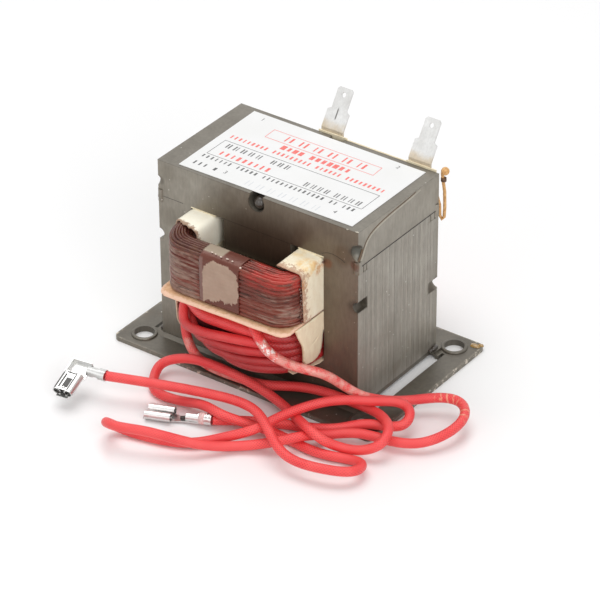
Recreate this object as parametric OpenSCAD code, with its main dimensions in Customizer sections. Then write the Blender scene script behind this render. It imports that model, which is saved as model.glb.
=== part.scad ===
// Filament transformer for mounting on a chassis.
// The laminated core is welded to a stamped plate. Two windings share the centre limb: the
// enamelled primary above, and below it five layers of thick sleeved wire, whose two ends run
// out as long flexible leads with push-on receptacles. Two push-on tabs stand at the back.
// Origin: middle of the four mounting holes, on the plate's underside. The leads leave at -Y.

/* [Core] */
// Width of the laminated core
core_w = 85.8; // [83:0.1:92]
// Height of the laminated core
core_h = 71.5; // [70:0.1:78]
// Depth of the lamination stack, front to back
core_d = 49; // [46:0.5:56]
// Width of the centre limb
centre_limb_w = 28.6; // [26:0.1:30]
// Width of each side limb
side_limb_w = 14.3; // [12:0.1:15]
// Height of the top yoke and of the bottom yoke
yoke_h = 14.3; // [12:0.1:15]
// Radius of the half-round pockets in the outer edges of the limbs
pocket_r = 2.1; // [1.5:0.1:2.5]
// Number of lamination steps that show on each side of the stack
lamination_steps = 17; // [8:1:24]
// Depth of a lamination step
lamination_groove = 0.15; // [0.05:0.05:0.3]

/* [Mounting plate] */
// Width of the plate
plate_w = 113; // [110:0.5:124]
// Depth of the plate
plate_d = 72.5; // [70:0.5:80]
// Thickness of the plate's sheet
plate_t = 1.6; // [1.2:0.1:2]
// How far the web under the core is pressed up
web_raise = 1; // [0.6:0.1:1.2]
// Corner radius of the plate
plate_corner_r = 2.5; // [1:0.5:5]
// Diameter of the mounting holes
hole_d = 7.5; // [5:0.1:8]
// Distance between the mounting holes along the width
hole_span_x = 96; // [94:0.5:98]
// Distance between the mounting holes along the depth
hole_span_y = 57.4; // [55:0.1:60]
// Width of the rolled rim round each hole
rim_w = 1.1; // [0.8:0.1:1.5]
// Height of the rolled rim above the plate
rim_h = 0.7; // [0.4:0.1:1]
// Width of the slot at each side of the core
slot_w = 4.3; // [3:0.1:4.5]
// Distance from a slot's end to the middle of the next hole, along the depth
slot_hole_gap = 8.2; // [8:0.1:10]

/* [Windings] */
// How far the primary stands out in front of the core
coil_overhang = 19.8; // [17:0.1:20.5]
// How far the filament winding stands out in front of the core
filament_overhang = 17.5; // [15:0.5:19]
// Height of the filament winding in the window
filament_h = 19.2; // [17:0.1:20]
// Number of sleeved turns one above the other
filament_rows = 5; // [4:1:6]
// Number of wire rows that show on the primary
primary_rows = 17; // [12:1:20]
// Drop of the board's front left corner
coil_sag = 1.4; // [0:0.1:3]
// How far the lowest turns stand above the window at the front left
turn_lift = 3; // [0:0.5:4]
// How much lower the primary is at the core's face than at its crown
inner_drop = 9; // [4:0.5:11]
// How much lower the crown is in front of the core than in the windows
front_dip = 1.2; // [0:0.1:2]
// Thickness of the insulating papers
paper_t = 0.5; // [0.3:0.1:0.6]
// Thickness of the insulating board
board_t = 1.5; // [1:0.1:2]
// How far the board stands out in front of the core
board_overhang = 21.7; // [20.5:0.1:23]
// Width of the tape band on the primary
tape_w = 17; // [12:0.1:20]
// How far the tape's middle is to the left of the core's middle
tape_shift = 1.5; // [0:0.1:3]

/* [Tabs] */
// Width of a push-on blade
blade_w = 6.35; // [4.8:0.05:6.5]
// Length of a push-on blade
blade_l = 8; // [7:0.1:9]
// Thickness of a tab
tab_t = 0.8; // [0.5:0.1:1]
// Width of a tab below its shoulders
tab_foot_w = 9.2; // [8:0.1:10]
// Angle by which the tabs lean back
tab_lean = 34; // [20:1:40]
// Distance from the core's right end to the middle of the right tab
tab_inset = 8.8; // [7:0.1:12]
// Distance between the two tabs
tab_spacing = 37.4; // [30:0.1:42]

/* [Leads] */
// Outer diameter of the leads
lead_d = 3.5; // [3:0.1:3.5]
// Thickness of the receptacles' sheet
receptacle_t = 0.4; // [0.3:0.05:0.5]

/* [Hidden] */
$fn = 48;
// Clearance between pieces that lie on each other
fit = 0.05;
eps = 0.01;

// Core levels and half sizes
core_x = core_w / 2;
core_y = core_d / 2;
limb_x = centre_limb_w / 2;
window_x = core_x - side_limb_w;
web_top = plate_t + web_raise;
window_z = web_top + yoke_h;
joint_z = web_top + core_h - yoke_h;
core_top = web_top + core_h;

// Plate levels
web_y = core_y + 0.5;
crease = 1.5;
slot_x = core_x + slot_w / 2;
slot_l = hole_span_y - 2 * slot_hole_gap;
pan_x = slot_x;
hook_l = 2.5;

// Winding sizes
limb_gap = 3;
face_gap = 0.4;
former_x = limb_x + limb_gap;
former_y = core_y + face_gap;
coil_in_x = former_x + paper_t;
coil_in_y = former_y + paper_t;
coil_out_x = window_x - paper_t - 2 * fit;
coil_out_y = core_y + coil_overhang;
coil_corner_r = 9;
filament_out_y = core_y + filament_overhang;
filament_corner_r = 17;
sheet_t = 0.3;
filament_z = window_z + fit + sheet_t + fit;
board_z = filament_z + filament_h + fit;
board_top = board_z + board_t;
board_y = core_y + board_overhang;
// Clearance of the board in the windows, at each side
board_gap = 0.8;
primary_z = board_top + fit;
cap_z = joint_z - paper_t - 2 * fit - paper_t;
primary_top = cap_z - fit;
former_top = primary_top - front_dip - inner_drop - 0.4;

// Terminal levels
terminal_y = core_y + fit + paper_t + fit;
terminal_z = joint_z + 2.2;
bend_z = core_top + 2;
tab_right_x = core_x - tab_inset;
tab_left_x = tab_right_x - tab_spacing;
back_paper_x = tab_left_x - tab_foot_w / 2 - 6;

// Stations of a ring round the limb: [angle of the outward direction, side factor x, side factor y]
ring_step = 22.5;
ring_mid = [0.5, 0, -0.5];
// Where the legs leave the window, as halves of the whole distance
leg_mid = [0.5, -0.5];
leg_y = core_y - 1;
stations = concat(
    [for (a = [0:ring_step:90]) [a, 1, 1]],
    [for (f = ring_mid) [90, f, 1]],
    [for (a = [90:ring_step:180]) [a, -1, 1]],
    [for (f = leg_mid) [180, -1, f]],
    [for (a = [180:ring_step:270]) [a, -1, -1]],
    [for (f = ring_mid) [270, -f, -1]],
    [for (a = [270:ring_step:360]) [a, 1, -1]],
    [for (f = leg_mid) [0, 1, -f]]
);

// Route of the right lead, from the winding to the straight receptacle
route_a = [
    [8.5, -39.5, 33.5], [13.5, -42.5, 31], [19, -43, 26.5], [28, -40.5, 23], [34.5, -36.5, 21],
    [38.5, -31.5, 16.5], [44, -26.5, 10.5], [49.5, -22.5, 8], [57, -15.5, 6.5], [66.5, -7.5, 7],
    [73.5, -6, 7], [78.5, -10.5, 6.5], [79.5, -20, 5.5], [73.5, -31, 4], [62.5, -35.5, 3.5],
    [53, -38.5, 4], [44.5, -44.5, 3.5], [40, -52.5, 5.5], [33, -60, 4.5], [22.5, -67, 2.5],
    [12.5, -77, 5], [-2, -85.5, 9], [-12, -89.5, 9.5], [-18.5, -87.5, 7.5], [-19, -83.5, 4],
    [-13, -81, 2], [6, -75.5, 2], [15.5, -67, 3], [25, -61, 7], [30, -50.5, 9], [37.5, -37, 10],
    [45, -31, 10.5], [52, -25, 9.5], [57, -20.5, 8.5], [62.5, -21, 7.5], [63.5, -26.5, 5],
    [52.5, -32, 4], [43.5, -39, 2.5], [24, -48, 2], [6.5, -60, 3]
];
// Route of the left lead, from the winding to the flag receptacle
route_b = [
    [-27.5, -31, 17.5], [-25, -33, 11], [-18.5, -34.5, 5], [-5, -34.5, 3.5], [9, -33, 4],
    [22, -28.5, 5.5], [38, -27, 6.5], [50, -26.5, 6], [57, -30, 8], [64, -36, 9], [65, -42.5, 6.5],
    [58, -46.5, 3.5], [51, -49, 4], [47, -52, 7], [42, -52, 9], [33.5, -46.5, 6.5], [24.5, -41, 4.5],
    [12, -37.5, 5], [-1, -37, 6.5], [-14.5, -37.5, 7], [-24, -39, 5.5], [-28.5, -43.5, 4],
    [-27, -50, 2.5], [-21.5, -56, 2], [-10.5, -56.5, 2.5], [1, -57.5, 5.5], [11, -59.5, 6.5],
    [21, -55.5, 4], [33, -53, 2], [47, -53.5, 2], [58.5, -50.5, 2], [64.5, -52.5, 3.5], [65.5, -59, 5],
    [57, -65, 6], [43, -66.5, 6.5], [33.5, -63, 10], [22, -56.5, 11.5], [3, -55, 9.5], [-16, -60, 9],
    [-34, -68, 10]
];

// Sag of the board and of the windings that touch it in front of the core, larger to the left
function clamp01(v) = max(0, min(1, v));
function sag(x, y) = coil_sag * max(0, (-y - leg_y) / coil_overhang) * (0.5 - x / 57);
// Extra clearance of the windings to the board where it sags
loose = 0.25;
function slack(y) = loose * clamp01((-y - leg_y) / 2);
// Lift of the lowest turns at the front left
function lift(x, y) = turn_lift * clamp01((-y - coil_in_y) / 8) * clamp01((-x - 4) / 20);
// Height of the primary's top at a share q of its wall. It climbs from the core's face to a crown.
crown_at = 0.65;
function climb(q) = front_dip + inner_drop * clamp01(1 - q / crown_at);
function crown(a, q) = primary_top - climb(q) * clamp01(1.4 * abs(sin(a)));

// Point of a rounded rectangle at a station
function rounded(s, hx, hy, r) = [
    s[1] * (hx - r) + r * cos(s[0]),
    abs(s[2]) < 1 ? 2 * s[2] * leg_y : s[2] * (hy - r) + r * sin(s[0])
];
function mix(a, b, q) = a + q * (b - a);

// Faces of a grid of rows that closes on itself both ways
function ring_faces(rows, cols) = [
    for (i = [0:rows - 1], j = [0:cols - 1])
        let (n = (i + 1) % rows, m = (j + 1) % cols)
        each [
            [i * cols + j, i * cols + m, n * cols + m],
            [i * cols + j, n * cols + m, n * cols + j]
        ]
];

// Faces of a tube of rings with flat ends
function tube_faces(rows, cols) = concat(
    [for (i = [0:rows - 2], j = [0:cols - 1])
        let (m = (j + 1) % cols)
        each [
            [i * cols + j, (i + 1) * cols + j, (i + 1) * cols + m],
            [i * cols + j, (i + 1) * cols + m, i * cols + m]
        ]],
    [[for (j = [0:cols - 1]) j]],
    [[for (j = [0:cols - 1]) rows * cols - 1 - j]]
);

// Tube of radius r through the points of a route
function unit(v) = v / norm(v);
function tangent(p, i) = unit(p[min(i + 1, len(p) - 1)] - p[max(i - 1, 0)]);
function carry(t, i, u) = i == len(t) ? [] :
    let (v = unit(u - (u * t[i]) * t[i]))
    concat([v], carry(t, i + 1, v));
module tube(p, r, sides = 8, side = [0, 0, 1]) {
    t = [for (i = [0:len(p) - 1]) tangent(p, i)];
    u = carry(t, 0, side);
    points = [for (i = [0:len(p) - 1], k = [0:sides - 1])
        let (a = 360 * (k + 0.5) / sides, w = cross(t[i], u[i]))
        p[i] + r * (cos(a) * u[i] + sin(a) * w)];
    polyhedron(points, tube_faces(len(p), sides));
}

// Upright plate in the YZ plane
module side_sheet(x, t, outline) {
    translate([x, 0, 0])
        rotate([90, 0, 90])
            linear_extrude(height = t)
                polygon(outline);
}

module rounded_plate(w, d, r) {
    square([w - 2 * r, d], center = true);
    square([w, d - 2 * r], center = true);
    for (sx = [-1, 1], sy = [-1, 1])
        translate([sx * (w / 2 - r), sy * (d / 2 - r)])
            circle(r = r);
}

// Stamped plate: flat rim, raised web with two creases, side slots, rimmed holes
module base_plate() {
    color("#8d8a80")
    difference() {
        union() {
            linear_extrude(height = plate_t)
                difference() {
                    rounded_plate(plate_w, plate_d, plate_corner_r);
                    square([2 * pan_x, 2 * web_y + 2 * crease], center = true);
                }
            translate([-pan_x - eps, 0, 0])
                rotate([90, 0, 90])
                    linear_extrude(height = 2 * pan_x + 2 * eps)
                        polygon([
                            [-web_y - crease - 2, 0], [-web_y - crease, 0], [-web_y, web_raise],
                            [web_y, web_raise], [web_y + crease, 0], [web_y + crease + 2, 0],
                            [web_y + crease + 2, plate_t], [web_y + crease, plate_t], [web_y, web_top],
                            [-web_y, web_top], [-web_y - crease, plate_t], [-web_y - crease - 2, plate_t]
                        ]);
            for (sx = [-1, 1], sy = [-1, 1])
                translate([sx * hole_span_x / 2, sy * hole_span_y / 2, plate_t]) {
                    translate([0, 0, -eps])
                        cylinder(d = hole_d + rim_w, h = rim_h + eps);
                    translate([0, 0, rim_h - rim_w / 2])
                        rotate_extrude()
                            translate([(hole_d + rim_w) / 2, 0])
                                circle(r = rim_w / 2, $fn = 24);
                    translate([0, 0, -eps])
                        cylinder(d = hole_d + 2 * rim_w, h = rim_h - rim_w / 2 + eps);
                }
        }
        for (sx = [-1, 1], sy = [-1, 1])
            translate([sx * hole_span_x / 2, sy * hole_span_y / 2, -1])
                cylinder(d = hole_d, h = plate_t + rim_h + 2);
        for (sx = [-1, 1]) {
            translate([sx * slot_x - slot_w / 2, -slot_l / 2, -1])
                cube([slot_w, slot_l, web_top + 2]);
            // Narrow hooks at the ends of each slot
            translate([sx * (core_x + slot_w) - 0.6, -slot_l / 2 - hook_l, -1])
                cube([1.2, slot_l + 2 * hook_l, web_top + 2]);
        }
    }
}

// Outline of the E laminations, seen from the front
module e_outline() {
    difference() {
        translate([-core_x, web_top])
            square([core_w, joint_z - web_top]);
        for (sx = [-1, 1])
            translate([sx > 0 ? limb_x : -window_x, window_z])
                square([window_x - limb_x, core_h]);
    }
}

// Shallow steps between groups of laminations, at uneven spacing
module lamination_lines(z0, h) {
    pitch = core_d / (lamination_steps + 1);
    for (i = [1:lamination_steps], sx = [-1, 1])
        translate([sx * core_x - lamination_groove, -core_y + i * pitch + 0.6 * sin(i * 137), z0])
            cube([2 * lamination_groove, 0.35 + 0.15 * sin(i * 71), h]);
}

// Vertical grooves for the welds at the four corners of the joint
weld_r = 1.4;
weld_in = 0.9;
weld_l = 5;
module corner_places() {
    for (sx = [-1, 1], sy = [-1, 1])
        translate([sx * (core_x - weld_in), sy * (core_y - weld_in), joint_z - weld_l / 2])
            children();
}

module e_laminations() {
    pocket_l = 5.6;
    color("#9a9184")
    difference() {
        translate([0, core_y, 0])
            rotate([90, 0, 0])
                linear_extrude(height = core_d)
                    e_outline();
        lamination_lines(web_top - 1, joint_z - web_top + 2);
        for (sx = [-1, 1]) {
            translate([sx * core_x, -core_y - 1, web_top + 41.4])
                rotate([-90, 0, 0])
                    cylinder(r = pocket_r, h = pocket_l + 1);
            translate([sx * core_x, core_y - pocket_l, web_top + 27])
                rotate([-90, 0, 0])
                    cylinder(r = pocket_r, h = pocket_l + 1);
        }
        corner_places()
            cylinder(r = weld_r + fit, h = weld_l);
    }
}

notch_r = 3.4;
notch_w = 5.6;
notch_z = core_top - 3.1;
module i_laminations() {
    color("#958d80")
    difference() {
        translate([-core_x, -core_y, joint_z])
            cube([core_w, core_d, yoke_h]);
        // Seam groove along the top, front to back
        translate([0, core_y + 1, notch_z])
            rotate([90, 0, 0])
                cylinder(r = notch_r, h = core_d + 2);
        translate([-notch_w / 2, -core_y - 1, notch_z])
            cube([notch_w, core_d + 2, 10]);
        // Scoops at the front corners, above the welds
        for (sx = [-1, 1])
            translate([sx * (core_x + 0.6), -core_y - 0.6, joint_z + 6])
                sphere(r = sx > 0 ? 3.6 : 2);
        corner_places()
            cylinder(r = weld_r + fit, h = weld_l);
    }
}

// Weld bead that lies in the groove on top of the yoke
module yoke_seam_weld() {
    bead_r = 2.5;
    bead_z = notch_z - notch_r + bead_r + fit;
    color("#4a4038")
    translate([0, 0, bead_z])
        rotate([90, 0, 0]) {
            cylinder(r = bead_r, h = core_d - 2 * bead_r - 1, center = true);
            for (s = [-1, 1])
                translate([0, 0, s * (core_y - bead_r - 0.5)])
                    sphere(r = bead_r);
        }
}

module corner_welds() {
    color("#6b5540")
    corner_places() {
        translate([0, 0, fit])
            cylinder(r = weld_r, h = weld_l - 2 * fit);
    }
}

// Weld beads between the core's sides and the web, at the slot ends
module plate_welds() {
    bead = 1.8;
    bead_l = 3.5;
    color("#4d3b2c")
    for (sx = [-1, 1], sy = [-1, 1])
        translate([sx * (core_x + fit), sy * (slot_l / 2 + bead_l / 2), web_top + fit])
            rotate([90, 0, 0])
                linear_extrude(height = bead_l, center = true)
                    intersection() {
                        circle(r = bead);
                        translate([sx > 0 ? 0 : -bead, 0])
                            square(bead);
                    }
}

// Paper tube round the limb
module former(z0, z1) {
    translate([0, 0, z0])
        linear_extrude(height = z1 - z0)
            difference() {
                square([2 * former_x + 2 * paper_t, 2 * former_y + 2 * paper_t], center = true);
                square([2 * former_x, 2 * former_y], center = true);
            }
}

module primary_former() {
    color("#d9cfae")
        former(primary_z, former_top);
}

module filament_former() {
    color("#d9cfae")
        former(filament_z, board_z - fit);
}

// Section of the primary: [share of the wall from inside to outside, share of the height]
wire_groove = 0.02;
// Share of the height that the wire rows take, below the rounded shoulder
row_share = 0.9;
primary_section = concat(
    [[0, 0], [1 - wire_groove, 0]],
    [for (i = [0:primary_rows - 1]) each [
        [1, (i + 0.25) * row_share / primary_rows],
        [1, (i + 0.7) * row_share / primary_rows],
        [1 - wire_groove, (i + 0.97) * row_share / primary_rows]
    ]],
    [[0.95, 0.95], [0.87, 0.99], [0.78, 1], [crown_at, 1], [0.35, 1], [0, 1]]
);

module primary_winding() {
    points = [for (s = stations, p = primary_section)
        let (
            i = rounded(s, coil_in_x + fit, coil_in_y + fit, 1),
            o = rounded(s, coil_out_x, coil_out_y, coil_corner_r),
            c = mix(i, o, p[0]),
            low = primary_z - sag(c[0], c[1]) + slack(c[1]),
            high = crown(s[0], p[0])
        )
        [c[0], c[1], mix(low, high, p[1])]];
    color("#7a332c")
        polyhedron(points, ring_faces(len(stations), len(primary_section)));
}

// Tape over the front of the primary: up the face, round the shoulder and over to the crown
module tape_band() {
    tape_x0 = -tape_shift - tape_w / 2;
    tape_t = 0.25;
    tape_gap = 0.1;
    steps = 4;
    wall = coil_out_y - coil_in_y;
    height = primary_top - front_dip - primary_z;
    // Shoulder of the winding: [share of the wall, share of the height]
    shoulder = [[1, row_share], [0.95, 0.95], [0.87, 0.99], [0.78, 1], [crown_at + 0.02, 1]];
    function lifted(d) = [for (q = shoulder)
        let (up = (q[1] - row_share) / (1 - row_share))
        [-coil_in_y - q[0] * wall - d * (1.2 - up), primary_z + q[1] * height + d * (0.2 + up)]];
    inner = lifted(tape_gap);
    outer = lifted(tape_gap + tape_t);
    ring = concat(
        [[inner[0][0], primary_z + 0.6], [outer[0][0], primary_z + 0.6]],
        outer,
        [for (i = [len(inner) - 1:-1:0]) inner[i]]
    );
    points = [for (i = [0:steps], q = ring) [tape_x0 + i * tape_w / steps, q[0], q[1]]];
    color("#a08a78")
        polyhedron(points, tube_faces(steps + 1, len(ring)));
}

// Paper cap over one leg of the primary: outer side, top and a short inner flap
module primary_liner(front_y) {
    flap_x = coil_in_x - paper_t;
    side_x = window_x - fit - paper_t;
    y0 = coil_in_y + fit;
    wall = coil_out_y - coil_in_y;
    end_y = front_y - 2;
    function rim(y) = primary_top - climb((y - coil_in_y) / wall) + 2 * fit;
    side_sheet(side_x, paper_t, [
        [core_y, primary_z], [core_y, joint_z - 3 * fit - paper_t], [-front_y, joint_z - 3 * fit - paper_t],
        [-front_y, primary_z]
    ]);
    translate([flap_x, -front_y, cap_z])
        cube([side_x + paper_t - flap_x, front_y + core_y, paper_t]);
    side_sheet(flap_x, paper_t, [
        [core_y, former_top + fit], [core_y, cap_z + paper_t], [-end_y, cap_z + paper_t],
        [-end_y, rim(end_y)], [-y0 - 0.5, rim(y0 + 0.5)], [-y0, former_top + 2 * fit],
    ]);
}

module primary_liner_right() {
    color("#efe4c4")
        primary_liner(core_y + 11.8);
}

module primary_liner_left() {
    color("#f3e9cb")
        mirror([1, 0, 0])
            primary_liner(core_y + 10);
}

// Paper between the caps and the yoke, one piece in each window
module top_insulation() {
    color("#e6dbb8")
    for (sx = [-1, 1])
        translate([sx > 0 ? coil_in_x : -window_x + fit, -core_y, joint_z - fit - paper_t])
            cube([window_x - fit - coil_in_x, core_d, paper_t]);
}

// Board between the windings, which droops in front of the core
module insulating_board() {
    section = [[0, 0], [1, 0], [1, 1], [0, 1]];
    points = [for (s = stations, p = section)
        let (
            i = rounded(s, limb_x + 0.5, web_y, 0.4),
            o = rounded(s, window_x - board_gap, board_y, 4),
            c = mix(i, o, p[0])
        )
        [c[0], c[1], board_z + p[1] * board_t - sag(c[0], c[1])]];
    color("#e8cf9c")
        polyhedron(points, ring_faces(len(stations), len(section)));
}

// Section of the filament winding, five sleeved turns high on the outside
turn_bulge = [[0.06, 0.93], [0.28, 0.99], [0.5, 1], [0.72, 0.99], [0.94, 0.93]];
filament_section = concat(
    [[0, 0], [0.85, 0]],
    [for (i = [0:filament_rows - 1], b = turn_bulge) [b[1], (i + b[0]) / filament_rows]],
    [[0.85, 1], [0, 1]]
);

module filament_winding() {
    points = [for (s = stations, p = filament_section)
        let (
            i = rounded(s, coil_in_x + fit, coil_in_y + fit, 1),
            o = rounded(s, coil_out_x, filament_out_y, filament_corner_r),
            c = mix(i, o, p[0]),
            low = filament_z + lift(c[0], c[1]),
            high = board_z - fit - sag(c[0], c[1]) - slack(c[1])
        )
        [c[0], c[1], mix(low, high, p[1])]];
    color("#c8262b")
        polyhedron(points, ring_faces(len(stations), len(filament_section)));
}

// Paper leaf between the filament winding and the side limb
liner_x = window_x - fit - paper_t;
module filament_liner_right() {
    color("#ead9b5")
        side_sheet(liner_x, paper_t, [
            [core_y, filament_z + 3], [core_y, board_z - 1], [-core_y - 1.4, board_z - 1],
            [-core_y - 16.5, board_z - 1.3], [-core_y - 14, board_z - 4.1],
            [-core_y - 11.7, board_z - 7.2], [-core_y - 11.7, board_z - 14],
            [-core_y - 10, board_z - 15.6], [-core_y - 3.8, board_z - 15.2], [-core_y - 1.4, filament_z + 12]
        ]);
}

module filament_liner_left() {
    color("#ead9b5")
        side_sheet(-liner_x - paper_t, paper_t, [
            [core_y, filament_z + 3], [core_y, board_z - 1], [-core_y - 9, board_z - 2.6],
            [-core_y - 11.8, board_z - 4], [-core_y - 11.8, filament_z + 9.8],
            [-core_y - 10.7, filament_z + 8.3], [-core_y - 7, filament_z + 2], [-core_y, filament_z + 1]
        ]);
}

// Paper under the filament winding, with a square corner showing at the front
module bottom_insulation() {
    color("#e9dfbf")
    translate([0, 0, window_z + fit])
        linear_extrude(height = sheet_t)
            difference() {
                polygon([
                    [-window_x + 0.3, core_y + 6], [window_x - 0.3, core_y + 6],
                    [window_x - 0.3, -core_y - 2], [window_x - 3.7, -core_y - 13.2],
                    [limb_x - 8, -core_y - 9], [-window_x + 0.3, -core_y - 1.5]
                ]);
                square([centre_limb_w + 1, 2 * web_y], center = true);
            }
}

// Paper behind the yoke that carries the two tabs
module terminal_insulation() {
    color("#f0e6c8")
        translate([back_paper_x, core_y + fit, joint_z - 0.5])
            cube([core_x - 1.5 - back_paper_x, paper_t, core_top + 0.7 - joint_z + 0.5]);
}

// Push-on tab: upright foot, bend, shoulders and blade
module terminal_tab(x0) {
    lean_l = 7.5;
    tip_cut = 0.8;
    total = lean_l + blade_l;
    half = tab_foot_w / 2;
    translate([x0, terminal_y, 0]) {
        translate([-half, 0, terminal_z])
            cube([tab_foot_w, tab_t, bend_z - terminal_z]);
        translate([0, 0, bend_z])
            rotate([90 - tab_lean, 0, 0])
                translate([0, 0, -tab_t])
                    linear_extrude(height = tab_t)
                        difference() {
                            polygon([
                                [-half, 0], [half, 0], [half, lean_l - 0.8],
                                [blade_w / 2, lean_l], [blade_w / 2, total - tip_cut],
                                [blade_w / 2 - tip_cut, total], [-blade_w / 2 + tip_cut, total],
                                [-blade_w / 2, total - tip_cut], [-blade_w / 2, lean_l],
                                [-half, lean_l - 0.8]
                            ]);
                            translate([0, total - 2.6])
                                circle(d = 1.8, $fn = 24);
                        }
    }
}

module terminal_tab_left() {
    color("#d8d8d4")
        terminal_tab(tab_left_x);
}

module terminal_tab_right() {
    color("#d8d8d4")
        terminal_tab(tab_right_x);
}

// Sleeved end of the primary at the back right: hairpin loop, tie and knot
tail_d = 1.2;
tail_y = terminal_y + tab_t + 1;
module wire_tail_right() {
    x = core_x;
    z = core_top;
    color("#d8a564") {
        tube([
            [x - 18.9, tail_y + 4, primary_top - 1.5], [x - 12.9, tail_y + 2, primary_top + 0.6],
            [x - 6.9, tail_y, z - 13.6], [x - 2.4, tail_y, z - 10.1], [x - 1.2, tail_y, z - 14.1],
            [x - 1, tail_y, z - 18.5], [x - 0.1, tail_y, z - 19.7], [x + 0.8, tail_y, z - 18.5],
            [x + 1, tail_y, z - 14.1], [x + 0.8, tail_y, z - 8.1], [x + 0.1, tail_y, z - 4.1],
            [x - 0.3, tail_y, z - 1.1], [x + 0.7, tail_y, z + 0.3]
        ], tail_d / 2, 8, [0, 1, 0]);
        translate([x + 0.9, tail_y, z + 0.1])
            sphere(d = 2.5 * tail_d, $fn = 24);
    }
}

module wire_tail_left() {
    x = tab_left_x;
    z = core_top;
    color("#d8a564")
        tube([
            [x - 10.7, tail_y + 5, primary_top - 4], [x - 8.7, tail_y + 2, primary_top + 0.5],
            [x - 6.2, tail_y, z - 13.1], [x - 4.2, tail_y - 0.2, z - 9.6],
            [x - 1.7, tail_y - 0.2, z - 7.1], [x - 0.3, tail_y - 0.2, z - 5.1]
        ], tail_d / 2, 8, [0, 1, 0]);
}

// Printed label on top of the yoke
module label() {
    color("white")
        translate([0, 0, core_top + fit])
            linear_extrude(height = 0.15)
                polygon([
                    [-core_x + 7.4, core_y - 2.1], [core_x - 4.1, core_y - 2.3],
                    [core_x - 4.1, -core_y + 2.4], [-core_x + 8.3, -core_y + 1.4]
                ]);
}

module lead_a() {
    color("#e04444")
        tube(route_a, lead_d / 2);
}

module lead_b() {
    color("#e04444")
        tube(route_b, lead_d / 2);
}

// Rolled side of a receptacle: a sheet curled inward over the base
roll_r = 1.65;
module rolled_side(l) {
    rotate([90, 0, 90])
        linear_extrude(height = l)
            difference() {
                circle(r = roll_r, $fn = 32);
                circle(r = roll_r - receptacle_t, $fn = 32);
                translate([0, -roll_r + 2 * receptacle_t])
                    square([2 * roll_r, tab_t + 0.1]);
            }
}

// Crimped barrel on the wire, along X
module crimp(r, l) {
    rotate([90, 0, 90])
        linear_extrude(height = l)
            difference() {
                circle(r = r, $fn = 24);
                translate([0, r])
                    circle(r = 0.35, $fn = 16);
            }
}

// Body of a push-on receptacle along X, its base plate on top of Z = 0
body_w = 7.8;
module receptacle_body(l, lip) {
    half = body_w / 2 - roll_r;
    translate([0, -half, 0])
        cube([l + lip, 2 * half, receptacle_t]);
    for (s = [-1, 1])
        translate([0, s * half, roll_r])
            mirror([0, s > 0 ? 1 : 0, 0])
                rolled_side(l);
}

module straight_receptacle() {
    neck_l = 5;
    grip_l = 2.6;
    wire_l = 2.5;
    barrel_l = 4.4;
    grip_r = 2.1;
    color("#cfcfc8")
    translate(route_a[len(route_a) - 1])
        rotate([0, 2.5, 198])
            translate([fit, 0, 0]) {
                crimp(grip_r, grip_l);
                translate([grip_l - eps, 0, 0])
                    crimp(1.9, wire_l + 2 * eps);
                translate([grip_l + wire_l, 0, -0.2])
                    crimp(1.5, barrel_l);
                translate([grip_l, -1.2, -1.7])
                    cube([wire_l + barrel_l + neck_l, 2.4, receptacle_t]);
                translate([grip_l + wire_l + barrel_l, 0, -1.7])
                    linear_extrude(height = receptacle_t)
                        polygon([[0, -1.2], [neck_l, -2.25], [neck_l, 2.25], [0, 1.2]]);
                translate([grip_l + wire_l + barrel_l + neck_l - eps, 0, -1.7])
                    receptacle_body(9.5, 1);
            }
}

module flag_receptacle() {
    grip_l = 2.6;
    barrel_l = 4.6;
    rear_l = 6.5;
    roll_l = 8.8;
    wall_h = 2.2;
    color("#cfcfc8")
    translate(route_b[len(route_b) - 1])
        rotate([-17, 0, 188])
            translate([fit, 0, 0]) {
                crimp(2.1, grip_l);
                translate([grip_l - eps, 0, 0])
                    crimp(1.7, barrel_l);
                translate([grip_l + barrel_l - 2, -1.2, -1.7])
                    cube([3, 2.4, receptacle_t]);
                translate([grip_l + barrel_l + body_w / 2, 0, -1.7]) {
                    translate([-body_w / 2, -rear_l / 2, 0])
                        cube([body_w, rear_l, receptacle_t]);
                    translate([body_w / 2 - receptacle_t, -rear_l / 2, 0])
                        cube([receptacle_t, rear_l, wall_h]);
                    translate([-body_w / 2, -rear_l / 2, 0])
                        cube([body_w, receptacle_t, wall_h]);
                    translate([0, rear_l / 2 - eps, 0])
                        rotate([0, 0, 90])
                            receptacle_body(roll_l, 1);
                }
            }
}

base_plate();
e_laminations();
i_laminations();
yoke_seam_weld();
corner_welds();
plate_welds();
primary_former();
primary_winding();
tape_band();
primary_liner_right();
primary_liner_left();
top_insulation();
insulating_board();
filament_former();
filament_winding();
filament_liner_right();
filament_liner_left();
bottom_insulation();
terminal_insulation();
terminal_tab_left();
terminal_tab_right();
wire_tail_right();
wire_tail_left();
label();
lead_a();
lead_b();
straight_receptacle();
flag_receptacle();
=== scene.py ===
# %% [markdown]
# # A filament transformer, dressed around its CAD frame
# The object is a small mains transformer: a welded stack of steel laminations on a stamped plate,
# an enamelled primary winding, and a filament winding of thick sleeved wire whose two ends run out
# as long red leads. The CAD solids are loaded first and keep their shape. This lesson gives most of
# them a finish, and takes the place of the others with wire, folded paper, tape and weld beads.

# %% Load the frame
import math
import random

import bmesh
import bpy
import numpy as np
from mathutils import Matrix, Vector


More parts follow.
